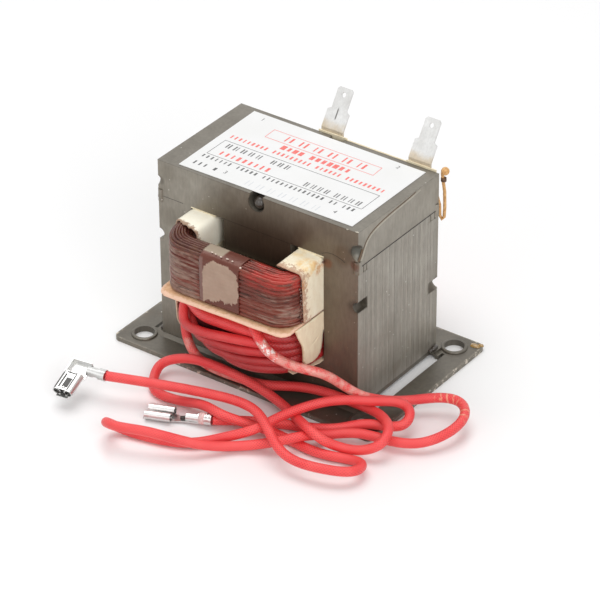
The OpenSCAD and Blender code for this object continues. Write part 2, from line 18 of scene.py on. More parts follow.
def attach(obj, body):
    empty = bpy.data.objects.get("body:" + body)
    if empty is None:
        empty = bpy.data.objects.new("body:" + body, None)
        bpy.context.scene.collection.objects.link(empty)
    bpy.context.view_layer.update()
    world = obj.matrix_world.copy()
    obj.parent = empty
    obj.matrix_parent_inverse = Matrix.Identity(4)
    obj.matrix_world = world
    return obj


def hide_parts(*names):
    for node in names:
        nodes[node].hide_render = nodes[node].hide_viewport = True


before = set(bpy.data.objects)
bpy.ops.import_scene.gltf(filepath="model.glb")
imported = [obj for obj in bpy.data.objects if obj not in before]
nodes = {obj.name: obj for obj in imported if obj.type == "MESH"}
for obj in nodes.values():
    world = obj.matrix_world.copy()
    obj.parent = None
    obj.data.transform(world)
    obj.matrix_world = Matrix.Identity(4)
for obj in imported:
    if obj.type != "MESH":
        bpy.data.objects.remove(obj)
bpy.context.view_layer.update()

MM = 0.001

# %% [markdown]
# ## Camera
# The photograph was taken from the front right and above, with a long lens. The lens and the place
# come from the corners of the core and of its windows, so the render can be laid over the photograph.

# %% Make the camera
CAMERA_PLACE = Vector((616.64, -844.45, 686.53)) * MM
CAMERA_AIM = Vector((0.595, 0.0, 19.01)) * MM
CAMERA_LENS = 208.4
CAMERA_ROLL = math.radians(-0.315)


def link(piece):
    """Puts an object into the scene."""
    bpy.context.scene.collection.objects.link(piece)
    return piece


camera_data = bpy.data.cameras.new("camera")
camera_data.lens = CAMERA_LENS
camera_data.sensor_width = 36.0
camera_data.clip_start = 0.05
camera_data.clip_end = 20.0
camera = link(bpy.data.objects.new("camera", camera_data))
aimed = (CAMERA_AIM - CAMERA_PLACE).to_track_quat("-Z", "Y").to_matrix()
rolled = (aimed @ Matrix.Rotation(CAMERA_ROLL, 3, "Z")).to_4x4()
camera.matrix_world = Matrix.Translation(CAMERA_PLACE) @ rolled
bpy.context.scene.camera = camera
print("camera", round((CAMERA_PLACE - CAMERA_AIM).length, 3), "m away")

# %% [markdown]
# ## Small mesh helpers
# Most soft or wound pieces here are tubes and sheets. These helpers build them from plain points,
# in metres, with the place in the mesh, so every object stays at the origin.

# %% Mesh helpers
def new_piece(name, vertices, faces, material=None, smooth=True):
    """A mesh object at the origin, with its place in the mesh."""
    mesh = bpy.data.meshes.new(name)
    mesh.from_pydata([tuple(v) for v in vertices], [], faces)
    mesh.validate()
    mesh.update()
    if smooth:
        mesh.shade_smooth()
    if material:
        mesh.materials.append(material)
    return link(bpy.data.objects.new(name, mesh))


def ride_on_core(piece, slot, *replaced):
    """Every piece is fixed to the core. It may take the place of CAD solids."""
    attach(piece, "root")
    if replaced:
        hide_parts(*replaced)
    return piece


def outward(piece):
    """Turns all faces outward."""
    work = bmesh.new()
    work.from_mesh(piece.data)
    bmesh.ops.recalc_face_normals(work, faces=work.faces)
    work.to_mesh(piece.data)
    work.free()


def distances(path):
    """How far along the path each of its points lies."""
    return np.concatenate([[0.0], np.cumsum(np.linalg.norm(np.diff(path, axis=0), axis=1))])


def smooth_path(points, step):
    """A natural cubic curve through the points, sampled about every step metres."""
    p = np.asarray(points, float)
    chord = np.linalg.norm(np.diff(p, axis=0), axis=1) ** 0.5
    h = np.diff(np.concatenate([[0.0], np.cumsum(chord)]))
    n = len(p)
    system = np.zeros((n, n))
    right = np.zeros((n, 3))
    system[0, 0] = system[-1, -1] = 1.0
    for i in range(1, n - 1):
        system[i, i - 1], system[i, i], system[i, i + 1] = h[i - 1], 2 * (h[i - 1] + h[i]), h[i]
        right[i] = 6 * ((p[i + 1] - p[i]) / h[i] - (p[i] - p[i - 1]) / h[i - 1])
    bend = np.linalg.solve(system, right)
    out = []
    for i in range(n - 1):
        count = max(2, int(round(np.linalg.norm(p[i + 1] - p[i]) / step)))
        for k in range(count):
            a = k / count * h[i]
            b = h[i] - a
            out.append(
                bend[i] * b ** 3 / (6 * h[i]) + bend[i + 1] * a ** 3 / (6 * h[i])
                + (p[i] / h[i] - bend[i] * h[i] / 6) * b
                + (p[i + 1] / h[i] - bend[i + 1] * h[i] / 6) * a
            )
    out.append(p[-1])
    return np.array(out)


def tube(name, path, radius, sides, material, closed=False):
    """A round tube along a path. Its UV map holds the way round and the length along it, in metres."""
    path = np.asarray(path, float)
    count = len(path)
    if closed:
        tangent = np.roll(path, -1, axis=0) - np.roll(path, 1, axis=0)
    else:
        tangent = np.gradient(path, axis=0)
    tangent /= np.linalg.norm(tangent, axis=1, keepdims=True)
    up = np.array((0.0, 0.0, 1.0))
    vertices = []
    for point, ahead in zip(path, tangent):
        up = up - ahead * up.dot(ahead)
        up /= np.linalg.norm(up)
        side = np.cross(ahead, up)
        for k in range(sides):
            a = 2 * math.pi * k / sides
            vertices.append(point + radius * (math.cos(a) * up + math.sin(a) * side))
    rows = count if closed else count - 1
    faces = []
    for i in range(rows):
        j = (i + 1) % count
        for k in range(sides):
            m = (k + 1) % sides
            faces.append((i * sides + k, i * sides + m, j * sides + m, j * sides + k))
    if not closed:
        faces.append(tuple(range(sides))[::-1])
        faces.append(tuple((count - 1) * sides + k for k in range(sides)))
    piece = new_piece(name, vertices, faces, material)
    along = distances(path)
    round_length = 2 * math.pi * radius
    uv = piece.data.uv_layers.new(name="UVMap")
    for polygon in piece.data.polygons:
        quad_row, quad_k = divmod(polygon.index, sides)
        for loop_index in polygon.loop_indices:
            row, k = divmod(piece.data.loops[loop_index].vertex_index, sides)
            u, v = k / sides, along[row]
            if polygon.index < rows * sides:
                if row != quad_row:
                    v = along[quad_row] + np.linalg.norm(path[(quad_row + 1) % count] - path[quad_row])
                if k == 0 and quad_k == sides - 1:
                    u = 1.0
            uv.data[loop_index].uv = (u * round_length, v)
    return piece


print("mesh helpers ready")

# %% [markdown]
# ## Node helpers
# A finish is a formula over the place on the object. Value stands for what a node puts out, and sums
# and products of values become Math nodes, so that the materials below read as formulas.

# %% Node helpers
class Value:
    """What a node puts out. Plain arithmetic on it makes Math nodes."""

    def __init__(self, tree, output):
        self.tree = tree
        self.output = output

    def __add__(self, other):
        return maths("ADD", self, other)

    def __sub__(self, other):
        return maths("SUBTRACT", self, other)

    def __rsub__(self, other):
        return maths("SUBTRACT", other, self)

    def __mul__(self, other):
        return maths("MULTIPLY", self, other)

    def __truediv__(self, other):
        return maths("DIVIDE", self, other)

    def __abs__(self):
        return maths("ABSOLUTE", self)


def tree_of(values):
    return next(value.tree for value in values if isinstance(value, Value))


def connect(target, value):
    """Links a value to a socket, or writes a plain number, vector or colour into it."""
    if isinstance(value, Value):
        value.tree.links.new(value.output, target)
    elif target.type == "RGBA":
        target.default_value = (*value, 1)
    else:
        target.default_value = value


def add_node(tree, kind, inputs=None, **settings):
    """A node with its settings. Its inputs are given by name or by number."""
    node = tree.nodes.new(kind)
    for key, value in settings.items():
        setattr(node, key, value)
    for key, value in (inputs or {}).items():
        connect(node.inputs[key], value)
    return node


def read(node, key=0):
    return Value(node.id_data, node.outputs[key])


def result(tree, kind, inputs=None, **settings):
    """The first output of a new node."""
    return read(add_node(tree, kind, inputs, **settings))


def maths(operation, *values, clamp=False):
    inputs = dict(enumerate(values))
    return result(tree_of(values), "ShaderNodeMath", inputs, operation=operation, use_clamp=clamp)


def mix(mask, first, second, blend="MIX"):
    """first where the mask is 0, second where it is 1."""
    tree = tree_of((mask, first, second))
    inputs = {0: mask, 6: first, 7: second}
    return read(add_node(tree, "ShaderNodeMix", inputs, data_type="RGBA", blend_type=blend), 2)


def tint(mask, colour, factor):
    return mix(mask, colour, factor, "MULTIPLY")


def ramp(value, black, white):
    """A colour ramp from black at one level to white at another."""
    node = add_node(value.tree, "ShaderNodeValToRGB", {0: value})
    for element, level in zip(node.color_ramp.elements, (black, white)):
        element.position = level
    return read(node)


def step_up(value, low, high):
    """0 below low, 1 above high, smooth between. With low above high it falls instead."""
    start, stop = (1.0, 0.0) if low > high else (0.0, 1.0)
    inputs = {"Value": value, "From Min": min(low, high), "From Max": max(low, high), "To Min": start,
              "To Max": stop}
    return result(value.tree, "ShaderNodeMapRange", inputs, interpolation_type="SMOOTHSTEP")


def both(first, *others):
    """1 where all the masks are 1."""
    for mask in others:
        first = first * mask
    return first


def noise(place, scale, detail=4.0, roughness=0.55, stretch=None, distortion=0.0):
    """Noise over a place. stretch scales the axes, so that grain can run one way."""
    if stretch:
        place = result(place.tree, "ShaderNodeMapping", {"Vector": place, "Scale": stretch})
    return result(place.tree, "ShaderNodeTexNoise", {
        "Vector": place, "Scale": scale, "Detail": detail, "Roughness": roughness, "Distortion": distortion})


def bump(height, strength, distance):
    inputs = {"Height": height, "Strength": strength, "Distance": distance}
    return result(height.tree, "ShaderNodeBump", inputs)


def grey(value):
    return result(value.tree, "ShaderNodeCombineColor", {0: value, 1: value, 2: value})


def split(place):
    node = add_node(place.tree, "ShaderNodeSeparateXYZ", {0: place})
    return [read(node, index) for index in range(3)]


def attribute(place, name):
    """A number that the mesh carries."""
    return read(add_node(place.tree, "ShaderNodeAttribute", attribute_name=name), "Fac")


def near(place, centre, radius):
    """1 close to a point, 0 beyond the radius. Both in mm."""
    point = tuple(v * MM for v in centre)
    gap = add_node(place.tree, "ShaderNodeVectorMath", {0: place, 1: point}, operation="DISTANCE")
    return step_up(read(gap, "Value"), radius * MM, radius * 0.45 * MM)


def shaded(colour, factor):
    return tuple(c * factor for c in colour)


def new_material(name):
    """A material, and the place on its object in object coordinates."""
    material = bpy.data.materials.new(name)
    material.use_nodes = True
    return material, read(add_node(material.node_tree, "ShaderNodeTexCoord"), "Object")


def finish(material, **looks):
    """Gives the looks to the material's shader."""
    shader = material.node_tree.nodes["Principled BSDF"]
    for name, value in looks.items():
        connect(shader.inputs[name.replace("_", " ")], value)
    return material


def new_tree(family, name, inputs, outputs):
    """A Shader or Geometry node group: its tree, its inputs as values by name, and its output node."""
    tree = bpy.data.node_groups.new(name, family + "NodeTree")
    for label, kind, value in inputs:
        made = tree.interface.new_socket(label, in_out="INPUT", socket_type="NodeSocket" + kind)
        if value is not None:
            made.default_value = value
    for label, kind in outputs:
        tree.interface.new_socket(label, in_out="OUTPUT", socket_type="NodeSocket" + kind)
    start = add_node(tree, "NodeGroupInput")
    given = {label: read(start, label) for label, kind, value in inputs}
    return tree, given, add_node(tree, "NodeGroupOutput")


def use_group(group, **values):
    """A node of a shader group with its inputs given."""
    return add_node(tree_of(values.values()), "ShaderNodeGroup", values, node_tree=group)


print("node helpers ready")

# %% [markdown]
# ## Shared node groups
# Three effects turn up on several materials: dried varnish that gathers in patches, fine grain that
# runs one way, and dust-like speckles. Each is a node group with named inputs.

# %% Node groups
def stain_group():
    """Patches of another colour, cut out of noise: Amount 0 to 1 sets how much they cover."""
    tree, given, end = new_tree("Shader", "varnish_stain", [
        ("Vector", "Vector", None), ("Color", "Color", None), ("Stain", "Color", None),
        ("Scale", "Float", 200.0), ("Amount", "Float", 0.4), ("Softness", "Float", 0.08),
        ("Strength", "Float", 0.8)],
        [("Color", "Color"), ("Mask", "Float")])
    cloud = result(tree, "ShaderNodeTexNoise", {
        "Vector": given["Vector"], "Scale": given["Scale"], "Detail": 6.0, "Roughness": 0.62})
    level = 0.72 - given["Amount"] * 0.44
    mask = maths("DIVIDE", cloud - level, given["Softness"], clamp=True) * given["Strength"]
    connect(end.inputs["Color"], mix(mask, given["Color"], given["Stain"]))
    connect(end.inputs["Mask"], mask)
    return tree


def grain_group():
    """Streaks along one axis: Stretch scales the coordinates, so small numbers mean long streaks."""
    tree, given, end = new_tree("Shader", "one_way_grain", [
        ("Vector", "Vector", None), ("Color", "Color", None), ("Stretch", "Vector", (1, 1, 0.05)),
        ("Scale", "Float", 1200.0), ("Depth", "Float", 0.3)],
        [("Color", "Color"), ("Height", "Float")])
    mapping = result(tree, "ShaderNodeMapping", {"Vector": given["Vector"], "Scale": given["Stretch"]})
    cloud = result(tree, "ShaderNodeTexNoise", {
        "Vector": mapping, "Scale": given["Scale"], "Detail": 3.0, "Roughness": 0.6})
    height = ramp(cloud, 0.3, 0.7)
    shade = height * given["Depth"] + (1.0 - given["Depth"])
    connect(end.inputs["Color"], tint(1.0, given["Color"], grey(shade)))
    connect(end.inputs["Height"], height)
    return tree


def speckle_group():
    """Small bright or dark specks, such as dust caught in the varnish."""
    tree, given, end = new_tree("Shader", "specks", [
        ("Vector", "Vector", None), ("Color", "Color", None), ("Speck", "Color", None),
        ("Scale", "Float", 700.0), ("Size", "Float", 0.16)],
        [("Color", "Color"), ("Mask", "Float")])
    cells = add_node(tree, "ShaderNodeTexVoronoi", {"Vector": given["Vector"], "Scale": given["Scale"]})
    cloud = result(tree, "ShaderNodeTexNoise", {"Vector": given["Vector"], "Scale": 90.0, "Detail": 2.0})
    mask = maths("LESS_THAN", read(cells, "Distance"), given["Size"]) * maths("GREATER_THAN", cloud, 0.52)
    connect(end.inputs["Color"], mix(mask, given["Color"], given["Speck"]))
    connect(end.inputs["Mask"], mask)
    return tree


STAIN, GRAIN, SPECKS = stain_group(), grain_group(), speckle_group()
print("groups:", STAIN.name, GRAIN.name, SPECKS.name)

# %% [markdown]
# ## Steel
# The laminations and the plate are bare electrical steel under a thin brown varnish. It is satin, olive
# grey, and darker where the varnish gathered. Tiny dust specks sit in it. The front of the middle limb
# carries painted shade, and the plate's rim a painted highlight.

# %% Steel materials
def ragged_place(place, reach):
    """The place, shifted by noise, so that what is drawn there gets a ragged outline."""
    wobble = add_node(place.tree, "ShaderNodeTexNoise", {"Vector": place, "Scale": 350.0, "Detail": 3.0})
    shift = result(place.tree, "ShaderNodeVectorMath", {0: read(wobble, "Color"), "Scale": reach * MM},
                   operation="SCALE")
    return result(place.tree, "ShaderNodeVectorMath", {0: place, 1: shift}, operation="ADD")


def varnish_and_shade_front(colour, place):
    """Tints the core's front face: brown varnish, most on the right; painted shade and reflection of the
    winding on the middle limb; and a darker top.
    """
    x, y, z = split(place)
    front = step_up(y, -0.0241, -0.0244)
    drift = x + noise(place, 30, 3, 0.5) * 0.02
    colour = tint(front * step_up(drift, -0.016, 0.012), colour, (0.62, 0.535, 0.47))
    # Painted shade: the front of the middle limb is darkened, standing in for the winding's shade and
    # reflection on it.
    limb = both(front, step_up(abs(x), 0.032, 0.012), step_up(z, 0.073, 0.058))
    colour = tint(limb, colour, (0.52, 0.46, 0.41))
    return tint(step_up(z, 0.0738, 0.07405), colour, (0.64, 0.64, 0.64))


def worn_and_highlit_rim(colour, place):
    """The plate's edges are brighter, as a painted highlight, with flakes of bare metal from wear."""
    x, y, _ = split(place)
    rim = maths("MAXIMUM", step_up(abs(x), 0.0555, 0.0562), step_up(abs(y), 0.0353, 0.036))
    flakes = rim * step_up(noise(place, 420, 5, 0.7), 0.56, 0.63)
    # Painted highlight: the whole rim is lightened; the flakes of bare metal are wear.
    return mix(flakes, tint(rim, colour, (1.35, 1.35, 1.35)), (0.62, 0.56, 0.46))


def steel_material(name, light, dark, amber=0.12, bands=0.0, spots=(), wear_and_painted_light=None):
    """Varnished steel. amber: how much brown lies on it; bands: how far single sheets differ in tone."""
    material, place = new_material(name)
    cloud = ramp(noise(place, 55, 5, 0.6), 0.3, 0.72)
    colour = mix(cloud, dark, light)
    if bands:
        colour = tint(1.0, colour, grey(attribute(place, "tone") * bands + (1.0 - bands)))
    fine = use_group(GRAIN, Vector=place, Color=colour, Stretch=(1, 1, 0.25), Scale=900.0, Depth=0.2)
    brown = use_group(STAIN, Vector=place, Color=read(fine, "Color"), Stain=(0.16, 0.09, 0.045), Scale=38.0,
                      Amount=amber, Softness=0.2, Strength=0.55)
    dust = use_group(SPECKS, Vector=place, Color=read(brown, "Color"), Speck=(0.55, 0.53, 0.48), Scale=300.0,
                     Size=0.075)
    colour = read(dust, "Color")
    # Painted light comes in here as well: shade on the core's front, a highlight on the plate's rim.
    if wear_and_painted_light:
        colour = wear_and_painted_light(colour, place)
    for centre, radius, factor in spots:
        middle = [c + radius * 0.15 for c in centre]
        colour = tint(near(ragged_place(place, radius * 0.3), middle, radius), colour, factor)
    uneven = noise(place, 260, 4, 0.6) + read(fine, "Height") * 0.3
    return finish(material, Base_Color=colour, Metallic=0.55, Roughness=cloud * -0.12 + 0.5, Coat_Weight=0.25,
                  Coat_Roughness=0.3, Normal=bump(uneven, 0.12, 0.0003))


CORE_SPOTS = [
    ((41.8, -23.6, 66.0), 3.6, (0.42, 0.45, 0.46)), ((0, -22.5, 71.0), 4.6, (0.3, 0.27, 0.24)),
    ((0, 22.5, 71.0), 4.6, (0.35, 0.3, 0.26)), ((41.5, -24.6, 60.6), 2.3, (0.75, 0.45, 0.36)),
    ((41.6, -21.8, 44.0), 4.6, (0.3, 0.27, 0.24)), ((42.6, 21.8, 29.6), 4.2, (0.5, 0.46, 0.42)),
    ((-42.6, -21.8, 44.0), 4.0, (0.4, 0.37, 0.33)), ((-42.6, 21.8, 29.6), 4.2, (0.5, 0.46, 0.42)),
    ((30.3, -24.5, 57.6), 2.6, (1.15, 0.72, 0.58)), ((-41.9, -23.6, 66.0), 2.4, (0.6, 0.58, 0.55)),
    ((-38.5, -24.5, 70.0), 4.5, (0.86, 0.85, 0.83)), ((-31.0, -24.5, 68.5), 3.5, (0.88, 0.87, 0.86)),
    ((-12.0, -24.5, 69.0), 5.0, (0.86, 0.83, 0.8)), ((20.0, -24.5, 67.0), 6.0, (0.88, 0.84, 0.8)),
    ((-38.0, -24.5, 52.0), 5.5, (0.88, 0.87, 0.85)), ((37.0, -24.5, 63.0), 5.5, (0.75, 0.66, 0.58)),
]
core_steel = steel_material("core_steel", (0.345, 0.315, 0.262), (0.235, 0.21, 0.168), spots=CORE_SPOTS,
                            wear_and_painted_light=varnish_and_shade_front)
sheet_edges = steel_material("sheet_edges", (0.40, 0.37, 0.315), (0.31, 0.278, 0.23), bands=0.21)
plate_steel = steel_material("plate_steel", (0.18, 0.162, 0.13), (0.105, 0.092, 0.072), amber=0.4,
                             wear_and_painted_light=worn_and_highlit_rim)
joint_dark = steel_material("joint_dark", (0.035, 0.028, 0.022), (0.02, 0.016, 0.013), amber=0.0)
# Painted highlight: a light steel for the bright edge of the varnish drip on the right face and for glints on
# the yoke's front corner.
highlight_steel = steel_material("painted_highlight_steel", (0.50, 0.455, 0.375), (0.38, 0.345, 0.28), amber=0.3)
varnish_brown = steel_material("varnish_brown", (0.16, 0.10, 0.055), (0.08, 0.05, 0.028), amber=0.0)
print("steel ready")

# %% [markdown]
# ## The leads
# The two ends of the filament winding are the longest things here, so they come first. Each is one
# limp sleeved wire. The sleeve is woven glass yarn soaked in red varnish: the weave is a pattern on
# the tube's own UV map, which follows every bend.

# %% Sleeve material
YARN = 0.0011
RING_PITCH = 0.0023
STAIN_FADE = 0.002
GLINT_FADE = 0.003


def stretch_of(along, start, stop):
    """1 on a stretch of the wire's length, with soft ends."""
    return (step_up(along, start - STAIN_FADE, start + STAIN_FADE)
            * step_up(along, stop + STAIN_FADE, stop - STAIN_FADE))


def sleeve_material(name, shade=1.0, stains=(), rings=(), glints=None):
    """Red woven sleeving. stains: stretches of its length, in metres, that dried varnish covers."""
    material, place = new_material(name)
    across, along, _ = split(result(place.tree, "ShaderNodeUVMap"))
    turn = across * (2 * math.pi / YARN)
    run = along * (2 * math.pi / YARN)
    weave = (maths("SINE", turn + run) + maths("SINE", turn - run)) * 0.25 + 0.5
    patches = ramp(noise(place, 90, 3), 0.35, 0.7)
    deep = mix(patches, shaded((0.86, 0.048, 0.052), shade), shaded((0.96, 0.10, 0.095), shade))
    shadow = mix(0.48, deep, (0.36 * shade, 0.006, 0.010))
    colour = mix(ramp(weave, 0.1, 0.5), shadow, deep)
    coat = 0.22
    if shade < 1:
        # The winding is darker low down and on the right, where little light gets in.
        x, _, z = split(place)
        hidden = maths("MAXIMUM", step_up(z, 0.0265, 0.0175), step_up(x, 0.012, 0.022))
        colour = tint(hidden, colour, (0.52, 0.38, 0.38))
    if stains:
        covers = [stretch_of(along, start, stop) * amount for start, stop, amount in stains]
        cover = covers[0]
        for other in covers[1:]:
            cover = maths("MAXIMUM", cover, other)
        cloud = noise(place, 330, 5, 0.62) + cover * 0.22
        mask = ramp(cloud, 0.56, 0.8) * step_up(cover, 0.0, 0.4)
        pale = mix(noise(place, 700, 3), (0.72, 0.33, 0.27), (0.92, 0.68, 0.56))
        colour = mix(mask * 0.62, colour, pale)
        coat = mask * 0.6 + 0.12
    for start, stop in rings:
        waves = maths("SINE", along * (2 * math.pi / RING_PITCH) + noise(place, 200, 3) * 9.0)
        band = both(stretch_of(along, start, stop), step_up(waves, 0.45, 0.85),
                    step_up(noise(place, 420, 4), 0.42, 0.55))
        colour = mix(band * 0.55, colour, (0.86, 0.52, 0.32))
    # Painted highlight: near-white glints along a stretch of the lead.
    if glints:
        start, stop = glints
        glint_spots = both(step_up(along, start, start + GLINT_FADE), step_up(along, stop, stop - GLINT_FADE),
                     step_up(noise(place, 620, 4, 0.6), 0.53, 0.59))
        colour = mix(glint_spots, colour, (0.97, 0.88, 0.84))
    return finish(material, Base_Color=colour, Roughness=0.42, Coat_Weight=coat, Coat_Roughness=0.3,
                  Normal=bump(weave, 0.75, 0.00018))


sleeve_right = sleeve_material("sleeve_right", stains=((0.002, 0.008, 0.3), (0.008, 0.055, 1.0)),
                               rings=((0.077, 0.098),), glints=(0.007, 0.019))
sleeve_left = sleeve_material("sleeve_left", stains=((0.008, 0.02, 0.8), (0.021, 0.036, 1.0)))
print("sleeve materials ready")

# %% [markdown]
# ## Routes
# Each route repeats the points of the CAD tube, in mm, from the winding to the receptacle.

# %% Make the leads
LEAD_D = 3.5
PATH_STEP = 0.0008
ROUTE_A = [
    [8.5, -39.5, 33.5], [13.5, -42.5, 31], [19, -43, 26.5], [28, -40.5, 23], [34.5, -36.5, 21],
    [38.5, -31.5, 16.5], [44, -26.5, 10.5], [49.5, -22.5, 8], [57, -15.5, 6.5], [66.5, -7.5, 7],
    [73.5, -6, 7], [78.5, -10.5, 6.5], [79.5, -20, 5.5], [73.5, -31, 4], [62.5, -35.5, 3.5],
    [53, -38.5, 4], [44.5, -44.5, 3.5], [40, -52.5, 5.5], [33, -60, 4.5], [22.5, -67, 2.5],
    [12.5, -77, 5], [-2, -85.5, 9], [-12, -89.5, 9.5], [-18.5, -87.5, 7.5], [-19, -83.5, 4],
    [-13, -81, 2], [6, -75.5, 2], [15.5, -67, 3], [25, -61, 7], [30, -50.5, 9], [37.5, -37, 10],
    [45, -31, 10.5], [52, -25, 9.5], [57, -20.5, 8.5], [62.5, -21, 7.5], [63.5, -26.5, 5],
    [52.5, -32, 4], [43.5, -39, 2.5], [24, -48, 2], [6.5, -60, 3],
]
ROUTE_B = [
    [-27.5, -31, 17.5], [-25, -33, 11], [-18.5, -34.5, 5], [-5, -34.5, 3.5], [9, -33, 4], [22, -28.5, 5.5],
    [38, -27, 6.5], [50, -26.5, 6], [57, -30, 8], [64, -36, 9], [65, -42.5, 6.5], [58, -46.5, 3.5],
    [51, -49, 4], [47, -52, 7], [42, -52, 9], [33.5, -46.5, 6.5], [24.5, -41, 4.5], [12, -37.5, 5],
    [-1, -37, 6.5], [-14.5, -37.5, 7], [-24, -39, 5.5], [-28.5, -43.5, 4], [-27, -50, 2.5],
    [-21.5, -56, 2], [-10.5, -56.5, 2.5], [1, -57.5, 5.5], [11, -59.5, 6.5], [21, -55.5, 4], [33, -53, 2],
    [47, -53.5, 2], [58.5, -50.5, 2], [64.5, -52.5, 3.5], [65.5, -59, 5], [57, -65, 6], [43, -66.5, 6.5],
    [33.5, -63, 10], [22, -56.5, 11.5], [3, -55, 9.5], [-16, -60, 9], [-34, -68, 10],
]


def make_lead(name, route, node, sleeve):
    path = smooth_path(np.array(route) * MM, PATH_STEP)
    piece = tube(name, path, LEAD_D / 2 * MM, 16, sleeve)
    ride_on_core(piece, "sleeved_wire", node)


make_lead("lead_right", ROUTE_A, "lead_a", sleeve_right)
make_lead("lead_left", ROUTE_B, "lead_b", sleeve_left)

# %% [markdown]
# ## Geometry Nodes helpers
# Wound wire and stacked sheets repeat one thing many times, so a node group makes them. The group is
# given its inputs by socket identifier, evaluated once, and kept as a plain mesh.

# %% Bake a node group
def chain(start, *steps):
    """Links geometry from one node to the next; each step is a node and the name of its input."""
    for node, name in steps:
        connect(node.inputs[name], start)
        start = read(node)
    return start


def carried(tree, name, kind="FLOAT"):
    """What the points of the mesh carry under a name."""
    return result(tree, "GeometryNodeInputNamedAttribute", {"Name": name}, data_type=kind)


def baked_group(name, inputs, build):
    """A geometry group. build makes the shapes; they end as real ones in the given material."""
    inputs = [("Geometry", "Geometry", None), *inputs, ("Material", "Material", None)]
    tree, given, end = new_tree("Geometry", name, inputs, [("Geometry", "Geometry")])
    real = (add_node(tree, "GeometryNodeRealizeInstances"), "Geometry")
    painted = (add_node(tree, "GeometryNodeSetMaterial", {"Material": given["Material"]}), "Geometry")
    connect(end.inputs["Geometry"], chain(build(tree, given), real, painted))
    return tree


def bake_nodes(piece, tree, **values):
    modifier = piece.modifiers.new(tree.name, "NODES")
    modifier.node_group = tree
    for item in tree.interface.items_tree:
        if item.in_out == "INPUT" and item.name in values:
            modifier[item.identifier] = values[item.name]
    graph = bpy.context.evaluated_depsgraph_get()
    mesh = bpy.data.meshes.new_from_object(piece.evaluated_get(graph), preserve_all_data_layers=True,
                                           depsgraph=graph)
    piece.modifiers.clear()
    piece.data = mesh


def set_value(piece, name, values, kind="FLOAT"):
    """Gives every point of the mesh a number, or a vector."""
    layer = piece.data.attributes.new(name, kind, "POINT")
    field = "vector" if kind == "FLOAT_VECTOR" else "value"
    layer.data.foreach_set(field, np.ravel(values).astype(np.float32))


def merge(first, *others):
    """Joins pieces into the first one."""
    pieces = [first, *others]
    with bpy.context.temp_override(active_object=first, object=first, selected_objects=pieces,
                                   selected_editable_objects=pieces):
        bpy.ops.object.join()
    return first


def wires(tree, given):
    """Round wire along every edge loop of a mesh, a little uneven, thickness from the mesh."""
    wobble = add_node(tree, "ShaderNodeTexNoise", {
        "Vector": result(tree, "GeometryNodeInputPosition"), "W": carried(tree, "tone") * 9.0 + given["Seed"],
        "Scale": 70.0, "Detail": 2.0}, noise_dimensions="4D")
    centred = result(tree, "ShaderNodeVectorMath", {0: read(wobble, "Color"), 1: (0.5, 0.5, 0.5)},
                     operation="SUBTRACT")
    shift = result(tree, "ShaderNodeVectorMath", {0: centred, "Scale": given["Unevenness"] * 4.0},
                   operation="SCALE")
    ring = result(tree, "GeometryNodeCurvePrimitiveCircle", {"Resolution": given["Sides"], "Radius": 1.0})
    sweep = {"Scale": carried(tree, "thick"), "Profile Curve": ring}
    return chain(given["Geometry"], (add_node(tree, "GeometryNodeMeshToCurve"), "Mesh"),
                 (add_node(tree, "GeometryNodeSetPosition", {"Offset": shift}), "Geometry"),
                 (add_node(tree, "GeometryNodeCurveToMesh", sweep), "Curve"),
                 (add_node(tree, "GeometryNodeSetShadeSmooth"), "Geometry"))


def sheets(tree, given):
    """A thin block on every point, sized by the point."""
    block = result(tree, "GeometryNodeMeshCube", {"Size": (1, 1, 1)})
    sized = {"Instance": block, "Scale": carried(tree, "size", "FLOAT_VECTOR")}
    return chain(given["Geometry"], (add_node(tree, "GeometryNodeInstanceOnPoints", sized), "Points"))


WIRE = baked_group("wound_wire", [
    ("Sides", "Int", 10), ("Unevenness", "Float", 0.0002), ("Seed", "Float", 1.0)], wires)
SHEETS = baked_group("stacked_sheets", [], sheets)
print("geometry groups:", WIRE.name, SHEETS.name)

# %% [markdown]
# ## Steel on the core and the plate
# The CAD solids keep their shape and get the steel. On both sides of the stack thin sheet edges stand
# out by a few hundredths of a millimetre, each in its own tone, as cut laminations do.

# %% Core, plate and sheet edges
CORE_X, CORE_Y, JOINT_Z = 42.9, 24.5, 59.8
NOTCH_FRONT, NOTCH_BACK = -18.4, 18.4


def clad(material, *names):
    for name in names:
        nodes[name].data.materials.clear()
        nodes[name].data.materials.append(material)


def make_sheet_edges(name, levels, seed):
    """levels: ranges of height, and the depths between which each one holds, in mm."""
    pick = random.Random(seed)
    points, sizes, tones = [], [], []
    shade = True
    for side in (-1, 1):
        y = -CORE_Y + 0.2
        while y < CORE_Y - 0.6:
            width = pick.choice((0.9, 1.2, 1.5, 1.8))
            gap = pick.uniform(0.02, 0.07)
            shade = not shade
            tone = pick.uniform(0.0, 0.45) + 0.55 * shade
            out = pick.uniform(0.02, 0.09)
            middle = y + width / 2
            for low, high, front, back in levels:
                if front <= middle <= back and middle + width / 2 < CORE_Y:
                    points.append((side * (CORE_X + out / 2 - 0.02) * MM, middle * MM, (low + high) / 2 * MM))
                    sizes.append(((out + 0.04) * MM, (width - gap) * MM, (high - low) * MM))
                    tones.append(tone)
            y += width
    piece = new_piece(name, points, [], smooth=False)
    set_value(piece, "tone", tones)
    set_value(piece, "size", sizes, "FLOAT_VECTOR")
    bake_nodes(piece, SHEETS, Material=sheet_edges)
    ride_on_core(piece, "lamination_steel")
    print(name, len(points), "sheet edges")


BOX_CORNERS = [(i, j, k) for i in (-1, 1) for j in (-1, 1) for k in (-1, 1)]
BOX_FACES = ((0, 1, 3, 2), (4, 6, 7, 5), (0, 4, 5, 1), (2, 3, 7, 6), (0, 2, 6, 4), (1, 5, 7, 3))


